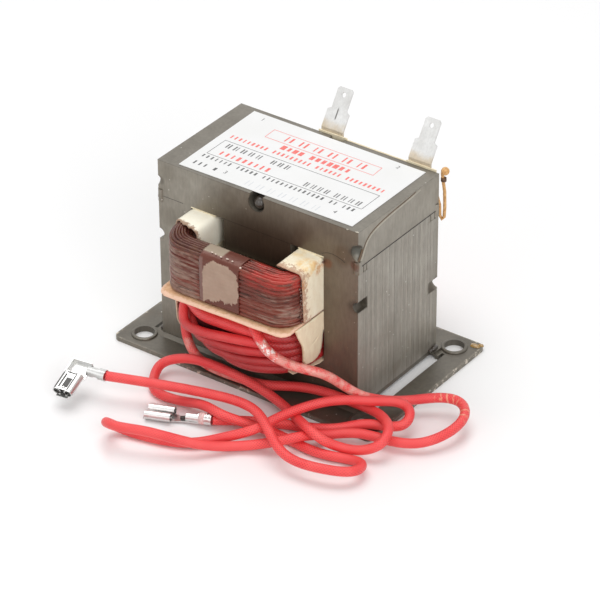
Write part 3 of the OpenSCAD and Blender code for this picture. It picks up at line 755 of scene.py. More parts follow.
def boxes(name, places, material, slot, *replaced, put=np.array):
    """Small closed boxes: centre and half sizes in mm. put moves their corners to where they belong."""
    vertices, faces = [], []
    for place in places:
        start = len(vertices)
        corners = [[c + sign * half for c, sign, half in zip(place[:3], signs, place[3:])]
                   for signs in BOX_CORNERS]
        vertices += list(put(corners) * MM)
        faces += [tuple(start + v for v in face) for face in BOX_FACES]
    return ride_on_core(new_piece(name, vertices, faces, material, smooth=False), slot, *replaced)


def varnish_line(name, path, radius, sides, material):
    ride_on_core(tube(name, path, radius * MM, sides, material), "lamination_steel")


clad(plate_steel, "base_plate")
clad(core_steel, "e_laminations", "i_laminations")
make_sheet_edges("sheet_edges_lower", [
    (2.75, 41.6, -99, NOTCH_FRONT), (46.4, 57.0, -99, NOTCH_FRONT), (2.75, 59.6, NOTCH_FRONT, NOTCH_BACK),
    (2.75, 27.2, NOTCH_BACK, 99), (32.0, 57.0, NOTCH_BACK, 99)], 5)
boxes("joint_line", [
    (42.94, 1.2, JOINT_Z, 0.06, 23.2, 0.14), (-42.94, 0, JOINT_Z, 0.06, 21.5, 0.14),
    (-37.0, -24.5, JOINT_Z, 5.0, 0.03, 0.07), (0.0, -24.5, JOINT_Z, 14.0, 0.03, 0.06),
    (-36.0, 24.5, JOINT_Z, 6.0, 0.03, 0.08), (32.5, 24.5, JOINT_Z, 9.0, 0.03, 0.08)],
    joint_dark, "lamination_steel")
arc = smooth_path(np.array([
    (42.9, -23.2, 61.4), (42.9, -21.4, 64.0), (42.9, -18.6, 68.2), (42.9, -11.5, 71.0), (42.9, 0.3, 72.2),
    (42.9, 7, 72.6), (42.9, 13, 73.2)]) * MM, PATH_STEP)
arc[:, 0] -= 0.43 * MM
dark_arc = arc + np.array([0.08, -0.72, 0.6]) * MM
front_arc = smooth_path(np.array([
    (27.5, -24.5, 60.6), (30.5, -24.5, 61.9), (34, -24.5, 61.8), (37.5, -24.5, 60.5)]) * MM, PATH_STEP)
# The varnish drip's edge is drawn light, as a painted highlight.
varnish_line("varnish_arc", arc, 0.6, 12, highlight_steel)
varnish_line("varnish_arc_dark", dark_arc[:-3], 0.48, 10, varnish_brown)
varnish_line("varnish_arc_front", front_arc, 0.09, 8, joint_dark)

# %% [markdown]
# ## Rings round the centre limb
# Both windings and the board go round the centre limb as rounded rectangles. The same outline and
# the same sag as in the CAD solids place the wires.

# %% Ring helpers
TURN_STEPS, SIDE_STEPS, LEG_STEPS = 9, 12, 14


def clamp01(value):
    return max(0.0, min(1.0, value))


def sag(x, y):
    return 1.4 * max(0.0, (-y - 23.5) / 19.8) * (0.5 - x / 57)


def slack(y):
    return 0.25 * clamp01((-y - 23.5) / 2)


def lift(x, y):
    return 3.0 * clamp01((-y - 25.4) / 8) * clamp01((-x - 4) / 20)


def ring_stations():
    """Places round a rounded rectangle: an angle, and how far to each side its corner's centre lies."""
    corners = ((1, 1), (-1, 1), (-1, -1), (1, -1))
    out = []
    for index, (sx, sy) in enumerate(corners):
        nx, ny = corners[(index + 1) % 4]
        count = SIDE_STEPS if index % 2 == 0 else LEG_STEPS
        out += [(math.radians(90 * index + 90 * k / TURN_STEPS), sx, sy) for k in range(TURN_STEPS + 1)]
        out += [(math.radians(90 * index + 90), sx + (nx - sx) * k / count, sy + (ny - sy) * k / count)
                for k in range(1, count)]
    return out


STATIONS = ring_stations()


def rounded(station, hx, hy, r):
    a, sx, sy = station
    return sx * (hx - r) + r * math.cos(a), sy * (hy - r) + r * math.sin(a)


def between(first, second, share):
    return tuple(a + (b - a) * share for a, b in zip(first, second))


def ring_solid(name, section, material):
    """section(station) gives the points of a closed outline, outward round the limb."""
    rows = [section(station) for station in STATIONS]
    count, size = len(rows), len(rows[0])
    vertices = [np.array(p) * MM for row in rows for p in row]
    faces = []
    for i in range(count):
        for j in range(size):
            here, ahead, side = i * size, (i + 1) % count * size, (j + 1) % size
            faces.append((here + j, here + side, ahead + side, ahead + j))
    return new_piece(name, vertices, faces, material)


print("ring of", len(STATIONS), "stations")

# %% [markdown]
# ## Primary winding
# Enamelled wire, dark red brown, under grey varnish that has dried in streaks along the turns; the
# streaks also stand for a painted highlight. At the upper right it is wet and bright red. Dark lines
# between the turns and the top at the left are painted shade. The turns are wires made by the node
# group, round a dark body that closes the gaps as painted shade.

# %% Primary material
def primary_material():
    material, place = new_material("primary_enamel")
    x, _, z = split(place)
    body = mix(attribute(place, "tone"), (0.10, 0.016, 0.011), (0.21, 0.036, 0.022))
    streak = noise(place, 950, 4, 0.6, (0.12, 0.16, 1.0), 0.4)
    broad = noise(place, 170, 3, 0.5, (0.45, 0.5, 1.3))
    low_right = both(step_up(x, 0.006, 0.012), step_up(z, 0.052, 0.049))
    level = step_up(x, -0.006, -0.013) * 0.2 + low_right * 0.12
    # Grey streaks along the turns: dried varnish, partly a painted highlight on the wires.
    grey_varnish_and_highlight = streak * 0.65 + broad * 0.35 + (level - 0.61)
    grey_varnish_and_highlight = maths("MULTIPLY", grey_varnish_and_highlight, 9.0, clamp=True) * step_up(z, 0.0565, 0.0545)
    varnish = mix(noise(place, 600, 3, 0.5), (0.15, 0.07, 0.05), (0.42, 0.30, 0.24))
    colour = mix(grey_varnish_and_highlight * 0.85, body, varnish)
    # Painted shade: dark lines along the turns, where the gaps between wires lie.
    gap_shade_lines = step_up(noise(place, 1300, 3, 0.6, (0.1, 0.15, 1.0)), 0.44, 0.36)
    colour = mix(gap_shade_lines * 0.75, colour, (0.022, 0.006, 0.005))
    wet = both(step_up(x, 0.007, 0.013), step_up(z, 0.0505, 0.0535))
    colour = mix(wet * ramp(streak, 0.42, 0.6), colour, (0.42, 0.028, 0.022))
    # Painted shade: the left part of the coil's top is darkened.
    top = both(step_up(z, 0.0548, 0.0562), step_up(x, 0.008, 0.0))
    colour = mix(top * 0.75, colour, (0.05, 0.012, 0.011))
    crust = both(step_up(x, -0.004, -0.014), step_up(z, 0.0525, 0.0555),
                 step_up(noise(place, 480, 5, 0.65), 0.44, 0.56))
    colour = mix(crust * 0.8, colour, (0.10, 0.035, 0.018))
    rough = streak + noise(place, 1500, 3, 0.5) * 0.3
    return finish(material, Base_Color=colour, Roughness=grey_varnish_and_highlight * 0.22 + 0.28 - wet * 0.1, Coat_Weight=0.2,
                  Coat_Roughness=0.15, Specular_IOR_Level=0.45, Specular_Tint=(1.0, 0.74, 0.58),
                  Normal=bump(rough, 1.0, 0.0005))


def dark_material(name, colour, rough=0.6):
    material, place = new_material(name)
    cloud = noise(place, 700, 3, 0.5)
    return finish(material, Base_Color=mix(cloud, shaded(colour, 0.5), colour), Roughness=rough)


primary_enamel = primary_material()
# Painted shade: the dark body that shows between the turns stands for the shade in the gaps.
primary_gap_shade = dark_material("primary_gap_shade", (0.035, 0.009, 0.008))
print("primary materials ready")

# %% [markdown]
# ## Turns of the primary
# Eleven rows show on the face, with thinner wires in the gaps between them, and more lie on top. Each
# is a closed loop of points that carry its tone and its thickness.

# %% Wind the primary
FACE_ROWS = 11
FACE_PITCH = 0.92 / FACE_ROWS
COIL_IN = (17.85, 25.45, 1.0)
COIL_OUT = (27.95, 44.25, 9.0)


def coil_top(station, share):
    climb = 1.2 + 9.0 * clamp01(1 - share / 0.65)
    return 58.6 - climb * clamp01(1.4 * abs(math.sin(station[0])))


def coil_point(station, share, level, inset=0.0, drop=0.0):
    """share goes from the limb to the outside, level from the bottom to the top of the coil."""
    outer = [v - inset for v in COIL_OUT]
    x, y = between(rounded(station, *COIL_IN), rounded(station, *outer), share)
    low = 38.15 - sag(x, y) + slack(y)
    return x, y, low + (coil_top(station, share) - low) * level - drop


def primary_section(station):
    low = coil_point(station, 0.03, 0.0)
    upper = [coil_point(station, share, 1.0, drop=0.9) for share in (0.9, 0.65, 0.3, 0.03)]
    return [low, coil_point(station, 1.0, 0.004, 0.9), coil_point(station, 1.0, 0.9, 0.95), *upper]


def make_primary():
    pick = random.Random(3)
    vertices, edges, tone, thick = [], [], [], []

    def add_turn(path, radius, shade):
        start = len(vertices)
        vertices.extend(tuple(np.array(p) * MM) for p in path)
        edges.extend((start + i, start + (i + 1) % len(path)) for i in range(len(path)))
        tone.extend([shade] * len(path))
        thick.extend([radius * MM] * len(path))

    for row in range(FACE_ROWS):
        level = (row + 0.5) * FACE_PITCH + pick.uniform(-0.006, 0.006)
        radius = pick.uniform(0.8, 0.98)
        outer = [coil_point(s, 1.0, level, radius + pick.uniform(0, 0.02)) for s in STATIONS]
        add_turn(outer, radius, pick.random())
        add_turn([coil_point(s, 1.0, level + FACE_PITCH * 0.5, 0.85) for s in STATIONS], 0.5, pick.random())
    for share, level in ((0.95, 0.955), (0.895, 0.985)):
        add_turn([coil_point(s, share, level, drop=0.6) for s in STATIONS], 0.72, pick.random())
    share = 0.83
    while share > 0.05:
        path = [coil_point(s, share, 1.0, drop=0.68) for s in STATIONS]
        add_turn(path, pick.uniform(0.58, 0.7), pick.random())
        share -= 0.062
    mesh = bpy.data.meshes.new("primary_turns")
    mesh.from_pydata(vertices, edges, [])
    piece = link(bpy.data.objects.new("primary_turns", mesh))
    set_value(piece, "tone", tone)
    set_value(piece, "thick", thick)
    bake_nodes(piece, WIRE, Sides=10, Unevenness=0.00012, Seed=4.0, Material=primary_enamel)
    merge(piece, ring_solid("primary_body", primary_section, primary_gap_shade))
    ride_on_core(piece, "enamelled_wire", "primary_winding")
    print("primary:", len(thick) // len(STATIONS), "wires,", len(piece.data.polygons), "faces")


make_primary()

# %% [markdown]
# ## Filament winding
# Thick sleeved wire, the same as the leads. Each strand is a closed turn through both windows; the
# points follow the arch it makes at the front. The lowest strands hang back at the left.

# %% Wind the filament winding
def closed_path(points, step):
    """A closed smooth curve through the points, sampled about every step metres."""
    p = np.asarray(points, float)
    out = []
    for i in range(len(p)):
        a, b, c, d = p[i - 1], p[i], p[(i + 1) % len(p)], p[(i + 2) % len(p)]
        count = max(2, int(round(np.linalg.norm(c - b) / step)))
        for k in range(count):
            t = k / count
            out.append(0.5 * (2 * b + (c - a) * t + (2 * a - 5 * b + 4 * c - d) * t * t
                              + (3 * b - a - 3 * c + d) * t ** 3))
    return np.array(out)


FRONT_STRANDS = [
    [(-22.5, -20, 34), (-21, -30, 33.4), (-16, -36, 32.9), (-8, -38.4, 32.6), (4, -38.6, 32.8),
     (14, -37, 33.2), (20, -32, 33.6), (22.5, -20, 34)],
    [(-26.1, -20, 34), (-25, -31, 32), (-21, -36.5, 30.3), (-11, -40.1, 29.6), (0, -40.2, 29.7),
     (10, -40.1, 30), (17, -38.5, 29.8), (22, -35, 29.6), (25.2, -29, 30.8), (26.1, -20, 34)],
    [(-26.1, -20, 30.5), (-25.6, -30, 28.5), (-24.3, -35.5, 25), (-20.8, -38.8, 21.4), (-12.7, -40.8, 22.2),
     (-2.8, -41.2, 24), (4, -41.2, 25.3), (9.7, -40.7, 26.2), (16, -39, 26.5), (21.5, -35.4, 26.6),
     (25, -29, 27.6), (26.1, -20, 30.4)],
    [(-26.1, -20, 26.8), (-25, -28, 24.5), (-21.5, -34, 21), (-16.5, -38, 19.3), (-11, -40, 19.3),
     (-3, -40.4, 19.8), (4, -40.5, 20.9), (9, -40.3, 22), (16, -38.5, 23.2), (21.7, -34.8, 23.8),
     (25, -29, 24.6), (26.1, -20, 26.8)],
    [(-26.1, -20, 23), (-24.5, -25, 21.3), (-20.5, -31.5, 19.3), (-14, -37, 17.4), (-8, -39.7, 16.8),
     (-3, -40.1, 16.6), (2, -40.3, 16.8), (11, -40.1, 18.5), (19, -37.4, 19.9), (23, -33.4, 20.9),
     (25.6, -27, 21.8), (26.1, -20, 23)],
    [(-26.1, -20, 19.3), (-22, -27, 18.5), (-15, -33.3, 17.4), (-8, -37.2, 16.3), (-2, -39.7, 15.7),
     (2, -40.2, 15.3), (6.4, -40.5, 15.5), (11, -40.4, 16.1), (15.4, -39.3, 16.7), (20.4, -36.4, 17.2),
     (24, -32, 18.1), (25.8, -26, 18.9), (26.1, -20, 19.3)],
    [(-25.2, -20, 29), (-24.3, -29, 27.8), (-21, -34.2, 26.8), (-14, -37.2, 26.2), (-4, -38, 26.8),
     (6, -38, 27.4), (15, -36.8, 28), (21.5, -32.5, 28.6), (24.8, -20, 30)],
]


def filament_section(station):
    inner = rounded(station, 17.85, 25.45, 1.0)
    outer = rounded(station, 24.8, 37.4, 13.0)
    low = 17.5 + lift(*outer)
    high = 35.9 - sag(*outer) - slack(outer[1])
    return [(*inner, low), (*outer, low), (*outer, high), (*inner, high)]


def make_filament():
    strands = []
    for index, front in enumerate(FRONT_STRANDS):
        x, z = front[-1][0], front[-1][2]
        back = [(x, 0, z), (x, 22, z), (x - 1.5, 32, z), (x - 8, 38, z), (0, 40 - index % 2, z)]
        back += [(-a, b, c) for a, b, c in reversed(back[:-1])]
        path = closed_path(np.array(front + back) * MM, 0.0011)
        strands.append(tube("strand_%d" % index, path, 1.77 * MM, 14, strand_sleeve, closed=True))
    piece = merge(*strands, ring_solid("filament_body", filament_section, filament_gap_shade))
    piece.name = "filament_turns"
    ride_on_core(piece, "sleeved_wire", "filament_winding")
    print("filament winding:", len(strands), "strands,", len(piece.data.polygons), "faces")


# Painted shade: the dark body that shows between the strands stands for the shade in the gaps.
filament_gap_shade = dark_material("filament_gap_shade", (0.11, 0.008, 0.01))
strand_sleeve = sleeve_material("strand_sleeve", shade=0.97)
make_filament()

# %% [markdown]
# ## Papers and board
# Fish paper, cream and stiff, creased over the coils by hand. Its cut edges are fuzzy and have drunk
# brown varnish, so each sheet carries the distance from its front edge for the edge colour to read. On
# the board that edge colour is a painted pink highlight.

# %% Paper materials
def paper_material(name, light, shade, edge_colour, reach=0.0012, spots=0.18, rim=0.85, patches=()):
    """reach: how far, in metres, the edge colour goes in from the cut edge; spots: how much is blotted."""
    material, place = new_material(name)
    fibres = noise(place, 420, 6, 0.65, (1, 1, 0.4))
    faint = [0.5 * a + 0.5 * b for a, b in zip(edge_colour, shade)]
    colour = mix(ramp(fibres, 0.32, 0.7), shade, light)
    blot = use_group(STAIN, Vector=place, Color=colour, Stain=faint, Scale=95.0, Amount=spots, Softness=0.14,
                     Strength=0.55)
    ragged = (noise(place, 650, 5, 0.7) - 0.45) * (reach * 5)
    edge_band = step_up(attribute(place, "edge") - ragged, reach, 0.0)
    colour = mix(edge_band * rim, read(blot, "Color"), edge_colour)
    for centre, radius, factor in patches:
        mask = both(near(place, centre, radius), ramp(noise(place, 380, 5, 0.7), 0.4, 0.6))
        colour = tint(mask, colour, factor)
    return finish(material, Base_Color=colour, Roughness=0.72, Sheen_Weight=0.1,
                  Normal=bump(noise(place, 900, 5, 0.6), 0.25, 0.0002))


paper_cream = paper_material(
    "paper_cream", (0.98, 0.91, 0.72), (0.88, 0.78, 0.57), (0.47, 0.25, 0.15), 0.0021, spots=0.26, patches=[
        ((26.5, -31, 58.6), 5.5, (0.98, 0.78, 0.52)), ((28.4, -27, 56.5), 3.5, (0.8, 0.55, 0.4)),
        ((28.4, -36, 54), 3.0, (0.95, 0.72, 0.5)), ((20.0, -27, 58.6), 3.5, (0.98, 0.86, 0.66))])
# Painted light: the left cap's paper is made paler than the right cap's, to make up for the shade at its
# side.
paper_left_brightened = paper_material("paper_left_brightened", (1.0, 0.97, 0.83), (0.96, 0.90, 0.74), (0.28, 0.13, 0.06), 0.0011,
                            spots=0.05)
leaf_paper = paper_material("leaf_paper", (0.95, 0.85, 0.62), (0.84, 0.70, 0.49), (0.60, 0.42, 0.25), 0.0005)
leaf_brown = paper_material("leaf_brown", (0.30, 0.12, 0.06), (0.18, 0.06, 0.03), (0.80, 0.68, 0.48), 0.0008)
plain_paper = paper_material("plain_paper", (0.90, 0.81, 0.6), (0.78, 0.67, 0.46), (0.5, 0.3, 0.18), rim=0.0)
# Painted highlight: on the board the edge colour is a pale pink along its outer edge.
board_cream = paper_material("board_cream", (0.84, 0.55, 0.32), (0.62, 0.33, 0.17), (0.93, 0.62, 0.46), 0.001)
print("papers ready")

# %% [markdown]
# ## Folded sheets
# Each paper is a grid of points made into a thin closed sheet. The caps fold over the legs of the
# primary, the leaves stand in the windows, and the board lies between the two windings.

# %% Sheets from grids
FAR = 9.0
CAP_STEPS = (0, 0.35, 0.8, 1.5, 2.6, 4.5, 7, 10, 14, 22, 34, 46)
LEAF_SHARES = (0, 0.04, 0.1, 0.2, 0.35, 0.5, 0.65, 0.8, 0.9, 1)


def slab(name, grid, thickness, material, edge=None):
    """A thin closed sheet over a grid of points in mm. edge: distance from the front edge, in mm."""
    grid = np.array(grid, float) * MM
    rows, columns = grid.shape[:2]
    normal = np.cross(np.gradient(grid, axis=0), np.gradient(grid, axis=1))
    normal /= np.maximum(np.linalg.norm(normal, axis=2, keepdims=True), 1e-9)
    half = thickness * MM / 2
    vertices = np.concatenate([(grid + normal * half).reshape(-1, 3), (grid - normal * half).reshape(-1, 3)])
    count = rows * columns
    number = np.arange(count).reshape(rows, columns).tolist()
    faces = []
    for upper, lower in zip(number[:-1], number[1:]):
        for a, b, c, d in zip(upper[:-1], upper[1:], lower[1:], lower[:-1]):
            faces.append((a, d, c, b))
            faces.append((count + a, count + b, count + c, count + d))
    rim = number[0] + [row[-1] for row in number[1:]]
    rim += number[-1][-2::-1] + [row[0] for row in number[-2:0:-1]]
    for a, b in zip(rim, rim[1:] + rim[:1]):
        faces.append((a, b, count + b, count + a))
    piece = new_piece(name, vertices, faces, material)
    far = np.full((rows, columns), FAR) if edge is None else np.array(edge, float)
    set_value(piece, "edge", np.concatenate([far.ravel(), far.ravel()]) * MM)
    outward(piece)
    return piece


def resample(points, count):
    """Evenly spaced points along a polyline whose corners are softened."""
    p = np.asarray(points, float)
    for _ in range(3):
        cut = [p[0]]
        for a, b in zip(p[:-1], p[1:]):
            cut += [a * 0.75 + b * 0.25, a * 0.25 + b * 0.75]
        p = np.array(cut + [p[-1]])
    along = distances(p)
    wanted = np.linspace(0, along[-1], count)
    return np.stack([np.interp(wanted, along, p[:, i]) for i in range(p.shape[1])], axis=1)


def cap(name, node, profile, seed, tear, material):
    """Paper folded over a leg of the coil. profile: x, z and the y of the front edge."""
    pick = random.Random(seed)
    grid = []
    for x, z, front in resample(profile, 64):
        ragged = pick.uniform(-tear, tear)
        row = []
        for step in CAP_STEPS:
            y = front + ragged * (1 - min(1, step / 3)) + step * (24.3 - front) / CAP_STEPS[-1]
            droop = 0.25 * max(0.0, 1 - step / 6) * pick.uniform(0.4, 1.0)
            row.append((x, y, z - droop * (1 if abs(x) < 27 else 0)))
        grid.append(row)
    piece = slab(name, grid, 0.48, material, [CAP_STEPS] * len(grid))
    ride_on_core(piece, "paper", node)


def leaf(name, node, front, rear, material, curl, seed):
    """A paper leaf in one window, between its front edge and its rear edge, as (y, z) pairs."""
    pick = random.Random(seed)
    grid, edge = [], []
    for first, second in zip(resample(front, 30), resample(rear, 30)):
        row = []
        for share in LEAF_SHARES:
            y, z = first + (second - first) * share + pick.uniform(-0.05, 0.05)
            bend = curl * math.sin(math.pi * share) - curl * 0.9 * (1 - share) ** 3
            row.append((math.copysign(28.27, curl) + bend * 0.25, y, z))
        grid.append(row)
        edge.append([share * abs(second[0] - first[0]) for share in LEAF_SHARES])
    piece = slab(name, grid, 0.46, material, edge)
    ride_on_core(piece, "paper", node)


def make_board():
    pick = random.Random(11)
    outline = ((0, 0, FAR), (0.5, 0, FAR), (0.9, 0, 2.0), (0.985, 0.05, 0.3), (1, 0.35, 0.0),
               (1.0, 1.15, 0.0), (0.985, 1.45, 0.3), (0.9, 1.5, 2.0), (0.5, 1.5, FAR), (0, 1.5, FAR))

    def section(station):
        inner = rounded(station, 14.85, 25.05, 0.4)
        rough = pick.uniform(-0.1, 0.08)
        outer = rounded(station, 27.75 + rough, 46.15 + rough, 4.0)
        places = [(between(inner, outer, share), height) for share, height, _ in outline]
        return [(x, y, 36.55 + height - sag(x, y)) for (x, y), height in places]

    piece = ring_solid("board_sheet", section, board_cream)
    set_value(piece, "edge", np.array([edge for _, _, edge in outline] * len(STATIONS)) * MM)
    ride_on_core(piece, "board", "insulating_board")


cap("paper_cap_right", "primary_liner_right", [
    (17.6, 52.5, -30), (17.6, 58.0, -36.6), (17.9, 58.95, -36.9), (19, 58.97, -37.1), (22, 58.97, -37.2),
    (25.4, 58.95, -37.2), (27.4, 58.7, -37.1), (28.25, 57.3, -36.9), (28.3, 54, -36.7), (28.3, 46, -36.3),
    (28.3, 38.25, -35.8)], 2, 0.05, paper_cream)
cap("paper_cap_left", "primary_liner_left", [
    (-17.6, 48.0, -28.5), (-17.55, 51.5, -33.6), (-17.6, 54.5, -35.2), (-17.7, 57, -35.6), 
    (-18.6, 58.9, -35.7), (-20.5, 58.97, -35.2), (-23.5, 58.97, -34.4), (-26.5, 58.97, -33.4),
    (-28.2, 58.7, -33),
    (-28.32, 57.4, -33.2), (-28.3, 52, -34.2), (-28.3, 38.25, -34.4)], 7, 0.38, paper_left_brightened)
leaf("paper_leaf_right", "filament_liner_right",
     [(-40.6, 37.3), (-38.7, 33.0), (-36.4, 29.2), (-36.1, 25), (-36.2, 22.3), (-35.2, 21.0), (-33.5, 20.6)],
     [(24, 38.1), (24, 34), (-22, 34), (-25.0, 29), (-25.1, 25.3), (-26.0, 22), (-27.4, 20.5), (-30.5, 20.2)],
     leaf_paper, 0.9, 4)
leaf("paper_leaf_left", "filament_liner_left",
     [(-33.6, 36.0), (-35.2, 33.0), (-35.2, 28), (-34.8, 22), (-34.4, 17.8), (-32.5, 14.6), (-30.8, 13.6)],
     [(24, 36.0), (24, 33), (-10, 31), (-20, 27), (-25, 22), (-28, 18), (-29.8, 15)], leaf_brown, -0.9, 6)
make_board()
clad(plain_paper, "primary_former", "filament_former", "top_insulation", "bottom_insulation",
     "terminal_insulation")
print("papers and board ready")

# %% [markdown]
# ## Tape on the primary
# Clear glossy tape, purple brown over the wire, with a dull beige patch of trapped air behind it. It
# climbs the front of the coil and turns over its shoulder.

# %% Tape
def tape_material():
    material, place = new_material("tape_purple")
    x, y, z = split(place)
    streak = noise(place, 700, 4, 0.6, (0.15, 1, 1))
    colour = mix(streak, (0.09, 0.022, 0.016), (0.17, 0.062, 0.045))
    strip = both(step_up(x, -0.0082, -0.0087), step_up(z, 0.0565, 0.0555))
    colour = mix(strip * 0.6, colour, (0.26, 0.16, 0.14))
    sideways = (x + 0.0008) / 0.0077
    upward = (z - 0.0478) / 0.0083
    reach = maths("POWER", abs(sideways), 3.2) + maths("POWER", abs(upward), 2.6)
    ragged = (noise(place, 330, 4, 0.6) - 0.5) * 1.5
    corner = both(step_up(x, 0.003, -0.001), step_up(z, 0.0520, 0.0500), step_up(x, -0.0087, -0.0083))
    foot = z + noise(place, 750, 4, 0.7, (1, 1, 0.35)) * -0.007 + x * -0.24
    air = maths("MAXIMUM", step_up(reach + ragged, 1.12, 0.92), corner) * step_up(foot, 0.0373, 0.0377)
    beige = mix(noise(place, 260, 4, 0.6), (0.33, 0.225, 0.165), (0.47, 0.345, 0.265))
    colour = mix(air, colour, beige)
    spot = both(step_up(z, 0.0568, 0.0572), step_up(x, -0.0012, -0.0022), step_up(y, -0.0425, -0.0415))
    colour = mix(spot, colour, (0.36, 0.29, 0.22))
    lumps = noise(place, 380, 4, 0.6) + streak * 0.5
    return finish(material, Base_Color=colour, Roughness=air * 0.2 + 0.24, Coat_Weight=0.12,
                  Coat_Roughness=0.12, Specular_IOR_Level=0.28, Specular_Tint=(1.0, 0.74, 0.60),
                  Normal=bump(lumps, 0.45, 0.0003))


def make_tape():
    line = resample([(-44.42, 38.75), (-44.42, 42), (-44.42, 46), (-44.42, 50), (-44.42, 54), (-44.4, 55.5),
                     (-43.6, 56.7), (-42.1, 57.45), (-40.2, 57.68), (-37.4, 57.68)], 60)
    grid = []
    for j in range(34):
        x = -9.95 + 16.9 * j / 33
        row = []
        for y, z in line:
            wave = 0.05 * math.sin(z * 3.9 + 0.4 * math.sin(x)) if z < 55 else 0
            bulge = 0.28 * math.exp(-((x + 1.4) ** 2 + (z - 50.9) ** 2) / 5.5)
            dip = sag(x, y) * (1 - clamp01((z - 38) / 18))
            row.append((x, y - wave - bulge, z - dip * 0.6))
        grid.append(row)
    ride_on_core(slab("tape_strip", grid, 0.2, tape_material()), "tape", "tape_band")


make_tape()
print("tape ready")

# %% [markdown]
# ## Drops and welds
# Small pale lumps along the tape's ridge, at the right of the coil and on the yoke's front corner are painted
# glints. Where the varnish pooled it dried in one amber drop. The welds are dark lumps.

# %% Lumps
RINGS, AROUND = 7, 12


def lump(name, places, material, slot, seed, *replaced):
    """Rounded lumps. places: centre and half sizes in mm."""
    pick = random.Random(seed)
    vertices, faces = [], []
    for cx, cy, cz, rx, ry, rz in places:
        start = len(vertices)
        first, second, _ = [pick.uniform(0, 6.28) for _ in range(3)]
        vertices.append((cx, cy, cz + rz))
        for i in range(1, RINGS):
            a = math.pi * i / RINGS
            for k in range(AROUND):
                b = 2 * math.pi * k / AROUND
                r = 1 + 0.1 * math.sin(3 * b + first) * math.sin(a) + 0.07 * math.sin(2 * b + 5 * a + second)
                vertices.append((cx + rx * r * math.sin(a) * math.cos(b),
                                 cy + ry * r * math.sin(a) * math.sin(b), cz + rz * r * math.cos(a)))
        vertices.append((cx, cy, cz - rz))
        last = len(vertices) - 1
        for k in range(AROUND):
            m = (k + 1) % AROUND
            faces.append((start, start + 1 + k, start + 1 + m))
            faces.append((last, last - AROUND + m, last - AROUND + k))
            for a in range(start + 1, start + 1 + (RINGS - 2) * AROUND, AROUND):
                faces.append((a + k, a + AROUND + k, a + AROUND + m, a + m))
    piece = new_piece(name, [np.array(v) * MM for v in vertices], faces, material)
    outward(piece)
    ride_on_core(piece, slot, *replaced)


def varnish_material(name, colour, rough):
    material, place = new_material(name)
    cloud = noise(place, 500, 3, 0.5)
    return finish(material, Base_Color=mix(cloud, shaded(colour, 0.75), colour), Roughness=rough,
                  Coat_Weight=0.5, Coat_Roughness=0.1, Normal=bump(noise(place, 900, 3, 0.5), 0.3, 0.0002))


painted_glint_white = varnish_material("painted_glint_white", (0.78, 0.62, 0.52), 0.3)
amber = varnish_material("amber_varnish", (0.42, 0.25, 0.07), 0.2)
weld_dark = varnish_material("weld_dark", (0.055, 0.042, 0.032), 0.3)
weld_brown = varnish_material("weld_brown", (0.11, 0.062, 0.042), 0.4)
crust = varnish_material("crust", (0.12, 0.04, 0.02), 0.14)
SIDES = [(sx, sy) for sx in (-1, 1) for sy in (-1, 1)]

# Painted glints: pale lumps along the tape's ridge and the right of the coil.
lump("painted_glint_lumps", [
    (-6.0, -42.0, 57.9, 0.5, 0.3, 0.2), (-4.3, -42.3, 57.9, 0.35, 0.25, 0.2),
    (-1.8, -42.6, 57.8, 0.5, 0.25, 0.2), (0.9, -42.5, 57.9, 0.6, 0.25, 0.2),
    (3.1, -42.6, 57.8, 0.4, 0.25, 0.2), (7.0, -43.2, 56.8, 0.45, 0.4, 0.4),
    (26.6, -36.9, 53.6, 0.5, 0.4, 0.5), (25.9, -37.9, 51.4, 0.35, 0.4, 0.5),
    (26.8, -36.9, 48.5, 0.4, 0.4, 0.4), (22.9, -41.6, 46.2, 0.55, 0.35, 0.35),
    (26.6, -37.6, 42.2, 0.5, 0.4, 0.4), (25.5, -39.2, 41.8, 0.5, 0.35, 0.3),
    (26.9, -36.6, 40.4, 0.35, 0.4, 0.5)], painted_glint_white, "enamelled_wire", 5)
lump("amber_drop", [(53.6, 33.7, 1.6, 2.1, 1.3, 0.7), (55.2, 35.2, 1.5, 1.2, 0.9, 0.6)], amber,
     "plate_steel", 3)
clad(weld_dark, "yoke_seam_weld")
clad(core_steel, "corner_welds")
lump("corner_weld_beads", [(sx * 42.5, sy * 24.1, 59.3, 0.75, 0.75, 1.3) for sx, sy in SIDES],
     weld_brown, "weld", 9)
lump("plate_weld_beads", [(sx * 43.7, sy * 22.2, 3.1, 1.0, 1.9, 0.9) for sx, sy in SIDES]
     + [(sx * 43.4, sy * 20.6, 2.9, 0.8, 1.2, 0.6) for sx, sy in SIDES], weld_dark, "weld", 12, "plate_welds")
pick = random.Random(21)
crumbs = [(28.2 + pick.uniform(-0.5, 0.2), -37.0 + pick.uniform(-0.5, 0.4), z, pick.uniform(0.25, 0.5),
           pick.uniform(0.25, 0.45), pick.uniform(0.3, 0.7)) for z in np.arange(39, 56.5, 1.15)]
lump("cap_crust", crumbs + [(28.9, -25.2, 57.9, 0.45, 0.5, 0.4)], crust, "enamelled_wire", 31)
# Painted glints: small light lumps on the yoke's front right corner.
lump("corner_glint_lumps", [(42.2, -24.1, 74.1, 0.8, 0.35, 0.22), (38.4, -24.4, 74.05, 0.5, 0.25, 0.2)], highlight_steel,
     "weld", 2)
print("welds and drops ready")

# %% [markdown]
# ## Label
# A white film on top of the yoke. Its print is generic: terminal numbers 1 to 4, ruled frames and
# plain bars where lines of print would stand.

# %% Label film and print
PRINT_Z = 74.31
DIGIT_SIZE = 2.6


def label_material():
    material, place = new_material("label_white")
    cloud = ramp(noise(place, 60, 4, 0.6), 0.3, 0.7)
    return finish(material, Base_Color=mix(cloud, (0.765, 0.765, 0.755), (0.80, 0.80, 0.80)), Roughness=0.42,
                  Normal=bump(noise(place, 180, 3, 0.5), 0.05, 0.0003))


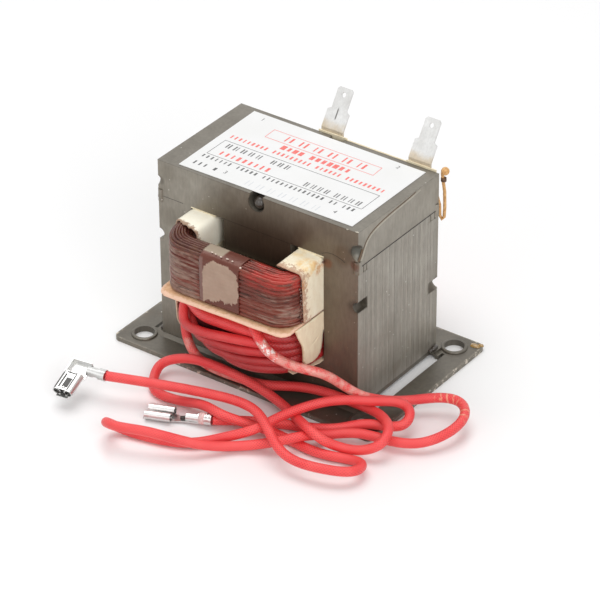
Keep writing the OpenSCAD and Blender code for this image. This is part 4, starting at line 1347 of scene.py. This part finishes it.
def ink(name, colour):
    material, place = new_material(name)
    faded = ramp(noise(place, 900, 4, 0.6), 0.3, 0.75)
    light = [min(1.0, 0.35 + 0.65 * c) for c in colour]
    return finish(material, Base_Color=mix(faded * 0.45, colour, light), Roughness=0.5)


def flat_marks(name, quads, material):
    """Thin printed marks: each is a four-sided outline on the label, in mm."""
    vertices, faces = [], []
    for quad in quads:
        start = len(vertices)
        vertices += [(x * MM, y * MM, z * MM) for z in (PRINT_Z, PRINT_Z + 0.02) for x, y in quad]
        faces += [(start + 3, start + 2, start + 1, start), (start + 4, start + 5, start + 6, start + 7)]
        faces += [(start + i, start + (i + 1) % 4, start + 4 + (i + 1) % 4, start + 4 + i) for i in range(4)]
    piece = new_piece(name, vertices, faces, material, smooth=False)
    outward(piece)
    ride_on_core(piece, "label_film")


def stroke(a, b, width):
    a, b = np.array(a, float), np.array(b, float)
    side = b - a
    side = np.array([-side[1], side[0]]) / np.linalg.norm(side) * width / 2
    return [tuple(a - side), tuple(b - side), tuple(b + side), tuple(a + side)]


def frame_marks(corners):
    return [stroke(corners[i], corners[(i + 1) % 4], 0.22) for i in range(4)]


def bar_row(start, end, y, height, words, seed, weight):
    """A line of print as plain upright bars, one for each letter; words are numbers of letters."""
    pick = random.Random(seed)
    pitch = (end - start) / (sum(words) + 0.9 * (len(words) - 1))
    out, at = [], start
    for word in words:
        for _ in range(word):
            wide = pitch * weight * pick.uniform(0.7, 1.3)
            tall = height * pick.uniform(0.86, 1.0)
            out.append(stroke((at + pitch / 2, y - tall / 2), (at + pitch / 2, y + tall / 2), wide))
            at += pitch
        at += pitch * 0.9
    return out


def printed(name, colour, marks, *rows):
    """Marks in one ink: frames first, then rows of bars."""
    material = ink(name + "_ink", colour)
    flat_marks("label_" + name, marks + [bar for row in rows for bar in bar_row(*row)], material)
    return material


def digit(character, x, y):
    curve = bpy.data.curves.new("digit_" + character, "FONT")
    curve.body = character
    curve.size = DIGIT_SIZE * MM
    curve.extrude = 0.00001
    drawn = link(bpy.data.objects.new("digit_" + character, curve))
    graph = bpy.context.evaluated_depsgraph_get()
    mesh = bpy.data.meshes.new_from_object(drawn.evaluated_get(graph))
    bpy.data.objects.remove(drawn)
    place = Matrix.Translation((x * MM, (y - DIGIT_SIZE * 0.35) * MM, (PRINT_Z + 0.01) * MM))
    mesh.transform(place @ Matrix.Rotation(-0.03, 4, "Z"))
    mesh.materials.clear()
    mesh.materials.append(black_ink)
    ride_on_core(link(bpy.data.objects.new("number_" + character, mesh)), "label_film")


red_ink = printed(
    "red", (0.78, 0.10, 0.08), frame_marks([(-21.6, 15.7), (24.8, 15.7), (25.1, 9.8), (-21.4, 9.7)]),
    (-15.0, 20.4, 12.8, 3.7, [2] * 6, 1, 0.34), (-12.6, 17.4, 7.2, 2.8, [4, 7], 2, 0.6),
    (-31.8, 34.9, 2.95, 2.2, [9, 9, 6, 9], 3, 0.38), (-28.2, -5.6, -8.4, 2.8, [9], 4, 0.36))
black_ink = printed(
    "black", (0.05, 0.05, 0.05), frame_marks([(-31.3, -0.4), (34.9, -0.2), (34.9, -11.1), (-31.3, -11.3)]),
    (-28.8, -13.4, -3.1, 3.0, [2] * 5, 5, 0.42), (-9.2, -1.2, -3.1, 3.0, [2] * 3, 15, 0.42),
    (9.0, 19.6, -8.6, 3.0, [2] * 4, 6, 0.42), (21.8, 33.0, -8.6, 3.0, [2] * 4, 16, 0.42),
    (-32.2, 33.8, -13.2, 2.1, [7, 5, 14, 2, 3], 7, 0.34), (-32.0, -21.0, -18.6, 2.2, [3, 1], 8, 0.36))
grey_ink = printed("grey", (0.62, 0.64, 0.66), [], (-8.4, 23.2, -19.4, 3.4, [2] * 7, 9, 0.22))
for character, x, y in (("1", -29.9, 19.2), ("2", 28.4, 19.5), ("3", -18.5, -18.1), ("4", 27.9, -17.7)):
    digit(character, x, y)
clad(label_material(), "label")
print("label ready in", red_ink.name, black_ink.name, grey_ink.name)

# %% [markdown]
# ## Tin, sleeving and the connectors
# The tabs and the receptacles are tinned brass: bright, brushed a little, amber with flux low down.

# %% Metal and sleeving
def tin_material(name, tone, flux_height=None):
    """Tinned brass. With a flux height, in metres, the tin below it is stained and a slit is drawn in dark as
    painted shade.
    """
    material, place = new_material(name)
    cloud = noise(place, 240, 4, 0.6)
    colour = mix(ramp(cloud, 0.3, 0.7), shaded((0.74, 0.735, 0.715), tone), shaded((0.86, 0.86, 0.85), tone))
    metallic = 1.0
    if flux_height:
        x, _, z = split(place)
        ragged = (noise(place, 300, 3, 0.5) - 0.5) * 0.004
        flux = step_up(z + ragged, flux_height, flux_height - 0.0035)
        colour = mix(flux * 0.8, colour, (0.62, 0.50, 0.33))
        metallic = 0.85 - flux * 0.7
        # Painted shade: a dark slit on the tab.
        slit_shade = both(step_up(abs(x + 0.0035), 0.00032, 0.00018), step_up(z, 0.0788, 0.0796),
                    step_up(z, 0.0832, 0.0818))
        colour = mix(slit_shade * 0.8, colour, (0.05, 0.045, 0.04))
    fine = use_group(GRAIN, Vector=place, Color=colour, Stretch=(1, 1, 0.12), Scale=1600.0, Depth=0.12)
    return finish(material, Base_Color=read(fine, "Color"), Metallic=metallic, Roughness=cloud * 0.15 + 0.24,
                  Normal=bump(noise(place, 300, 2, 0.4), 0.06, 0.0003))


def cloth_material(name, light, dark):
    material, place = new_material(name)
    weave = noise(place, 1600, 3, 0.5, (1, 1, 0.5))
    return finish(material, Base_Color=mix(ramp(weave, 0.3, 0.7), dark, light), Roughness=0.6,
                  Normal=bump(weave, 0.6, 0.0002))


def level_ring(x, y, z, radius):
    """A closed ring, nearly level, in mm."""
    lean = np.array((0.05, 0, 1), float)
    lean /= np.linalg.norm(lean)
    side = np.cross(lean, (0, 0, 1))
    side /= np.linalg.norm(side)
    up = np.cross(side, lean)
    turn = np.linspace(0, 2 * math.pi, 24, endpoint=False)
    return np.array([np.array((x, y, z)) + radius * (math.cos(a) * side + math.sin(a) * up) for a in turn])


def on_connector(end, angles, points):
    """Places points given along a connector, in mm, as the CAD solid of the connector is placed."""
    rx, ry, rz = (math.radians(a) for a in angles)
    turn = Matrix.Rotation(rz, 3, "Z") @ Matrix.Rotation(ry, 3, "Y") @ Matrix.Rotation(rx, 3, "X")
    return np.array([tuple(Vector(end) + turn @ (Vector(p) + Vector((0.05, 0, 0)))) for p in points])


def straight(points):
    return on_connector(ROUTE_A[-1], (0, 2.5, 198), points)


def flag(points):
    return on_connector(ROUTE_B[-1], (-17, 0, 188), points)


def rod(name, put, ends, radius, material, slot="tinned_brass", sides=10):
    ride_on_core(tube(name, put(ends) * MM, radius * MM, sides, material), slot)


tab_tin = tin_material("tab_tin", 0.94, 0.0792)
connector_tin = tin_material("connector_tin", 0.88)
sleeving_tan = cloth_material("sleeving_tan", (0.78, 0.48, 0.2), (0.5, 0.24, 0.08))
tie_dark = cloth_material("tie_dark", (0.2, 0.11, 0.06), (0.07, 0.035, 0.02))
pale_sleeve = cloth_material("sleeve_end", (0.86, 0.72, 0.70), (0.72, 0.42, 0.40))
# Painted shade: a dark metal for the shaded gaps and recesses of the receptacles.
painted_shade_metal = dark_material("painted_shade_metal", (0.05, 0.047, 0.042), 0.35)
clad(tab_tin, "terminal_tab_left", "terminal_tab_right")
clad(connector_tin, "straight_receptacle", "flag_receptacle")
clad(sleeving_tan, "wire_tail_right", "wire_tail_left")

tie = merge(*[tube("tie_%d" % k, level_ring(43.2, 26.9, z, 0.78) * MM, 0.28 * MM, 6, tie_dark, closed=True)
              for k, z in enumerate((70.2, 70.7, 71.2))])
tie.name = "tail_tie"
ride_on_core(tie, "wire_sleeving")

rod("straight_sleeve_collar", straight, [(2.35, 0, 0), (3.4, 0, 0), (4.6, 0, 0)], 2.12, pale_sleeve,
    "sleeved_wire", 16)
# Painted shade: a dark rod in the straight receptacle's neck, where the wire strands lie in shadow.
rod("straight_neck_shade", straight, [(9.2, 0, -0.6), (10.4, 0, -0.8), (11.6, 0, -1.05)], 0.75, painted_shade_metal)
for k, at in enumerate((0.55, 1.85)):
    arch = [(at, -1.3, 1.35), (at, 0, 2.15), (at, 1.3, 1.35)]
    rod("straight_wing_%d" % k, straight, arch, 0.42, connector_tin)
# Painted shade: dark boxes in the flag receptacle's window, grooves and step.
for part, place, material in (
    ("cover", (11.1, 8.1, 1.6, 1.9, 3.9, 0.08), connector_tin),
    ("window", (10.7, 8.6, 1.76, 1.05, 2.1, 0.06), painted_shade_metal),
    ("groove", (12.75, 8.1, 1.74, 0.3, 3.1, 0.06), painted_shade_metal),
    ("groove_right", (9.2, 8.1, 1.7, 0.17, 3.5, 0.06), painted_shade_metal),
    ("groove_left", (14.0, 8.1, 1.52, 0.2, 3.6, 0.1), painted_shade_metal),
    ("step", (11.1, 4.1, 1.74, 1.9, 0.2, 0.06), painted_shade_metal),
):
    boxes("flag_" + part, [place], material, "tinned_brass", put=flag)
rod("flag_neck_shadow", flag, [(7.1, -2.6, -0.9), (7.15, -1.0, 0.2), (7.2, 1.6, -0.6)], 0.42, painted_shade_metal)
dimple = flag([(10.9, 10.9, 1.80)])[0]
lump("flag_dimple", [(*dimple, 0.6, 0.6, 0.35)], connector_tin, "tinned_brass", 4)
boxes("tab_paper", [
    (-2.6, 24.8, 67.05, 6.1, 0.25, 7.75), (16.25, 24.8, 66.775, 12.75, 0.25, 7.475),
    (35.2, 24.8, 67.05, 6.2, 0.25, 7.75)], plain_paper, "paper", "terminal_insulation")
print("metal and sleeving ready")

# %% [markdown]
# ## Floor and light
# The photograph has a white sweep under soft light. The floor is white and slightly glossy, so that
# it keeps the shadows and a faint reflection, and beyond it the world is plain white to the camera.

# %% Floor, world and lamps
FLOOR_HALF = 1.6


def make_floor():
    material, _ = new_material("white_sweep")
    finish(material, Base_Color=(0.93, 0.93, 0.93), Roughness=0.3)
    corners = [(x * FLOOR_HALF, y * FLOOR_HALF, 0) for x, y in ((-1, -1), (1, -1), (1, 1), (-1, 1))]
    new_piece("sweep", corners, [(0, 1, 2, 3)], material, smooth=False)


def make_world(strength):
    """White to the camera and in reflections, and weaker as a light."""
    world = bpy.data.worlds.new("studio")
    world.use_nodes = True
    bpy.context.scene.world = world
    background = world.node_tree.nodes["Background"]
    rays = add_node(world.node_tree, "ShaderNodeLightPath")
    seen = maths("MAXIMUM", read(rays, "Is Camera Ray"), read(rays, "Is Glossy Ray"))
    seen = maths("MAXIMUM", seen, read(rays, "Is Transmission Ray"))
    connect(background.inputs["Color"], (1, 1, 1))
    connect(background.inputs["Strength"], seen * (1.0 - strength) + strength)


def area_lamp(name, place, aim, size, power):
    data = bpy.data.lights.new(name, "AREA")
    data.shape = "RECTANGLE"
    data.size, data.size_y = size
    data.energy = power
    lamp = link(bpy.data.objects.new(name, data))
    lamp.location = place
    lamp.rotation_euler = (Vector(aim) - Vector(place)).to_track_quat("-Z", "Y").to_euler()


make_floor()
make_world(0.45)
area_lamp("soft_box_above", (-0.25, 0.15, 1.1), (0, 0, 0), (1.0, 1.0), 7.9)
area_lamp("soft_box_right", (0.85, -0.6, 0.65), (0, 0, 0.03), (0.7, 0.7), 5.3)
area_lamp("soft_box_front", (-0.1, -1.15, 0.5), (0, 0, 0.03), (0.7, 0.7), 1.5)

bpy.context.scene.view_settings.view_transform = "Standard"
print("floor, world and lamps ready")
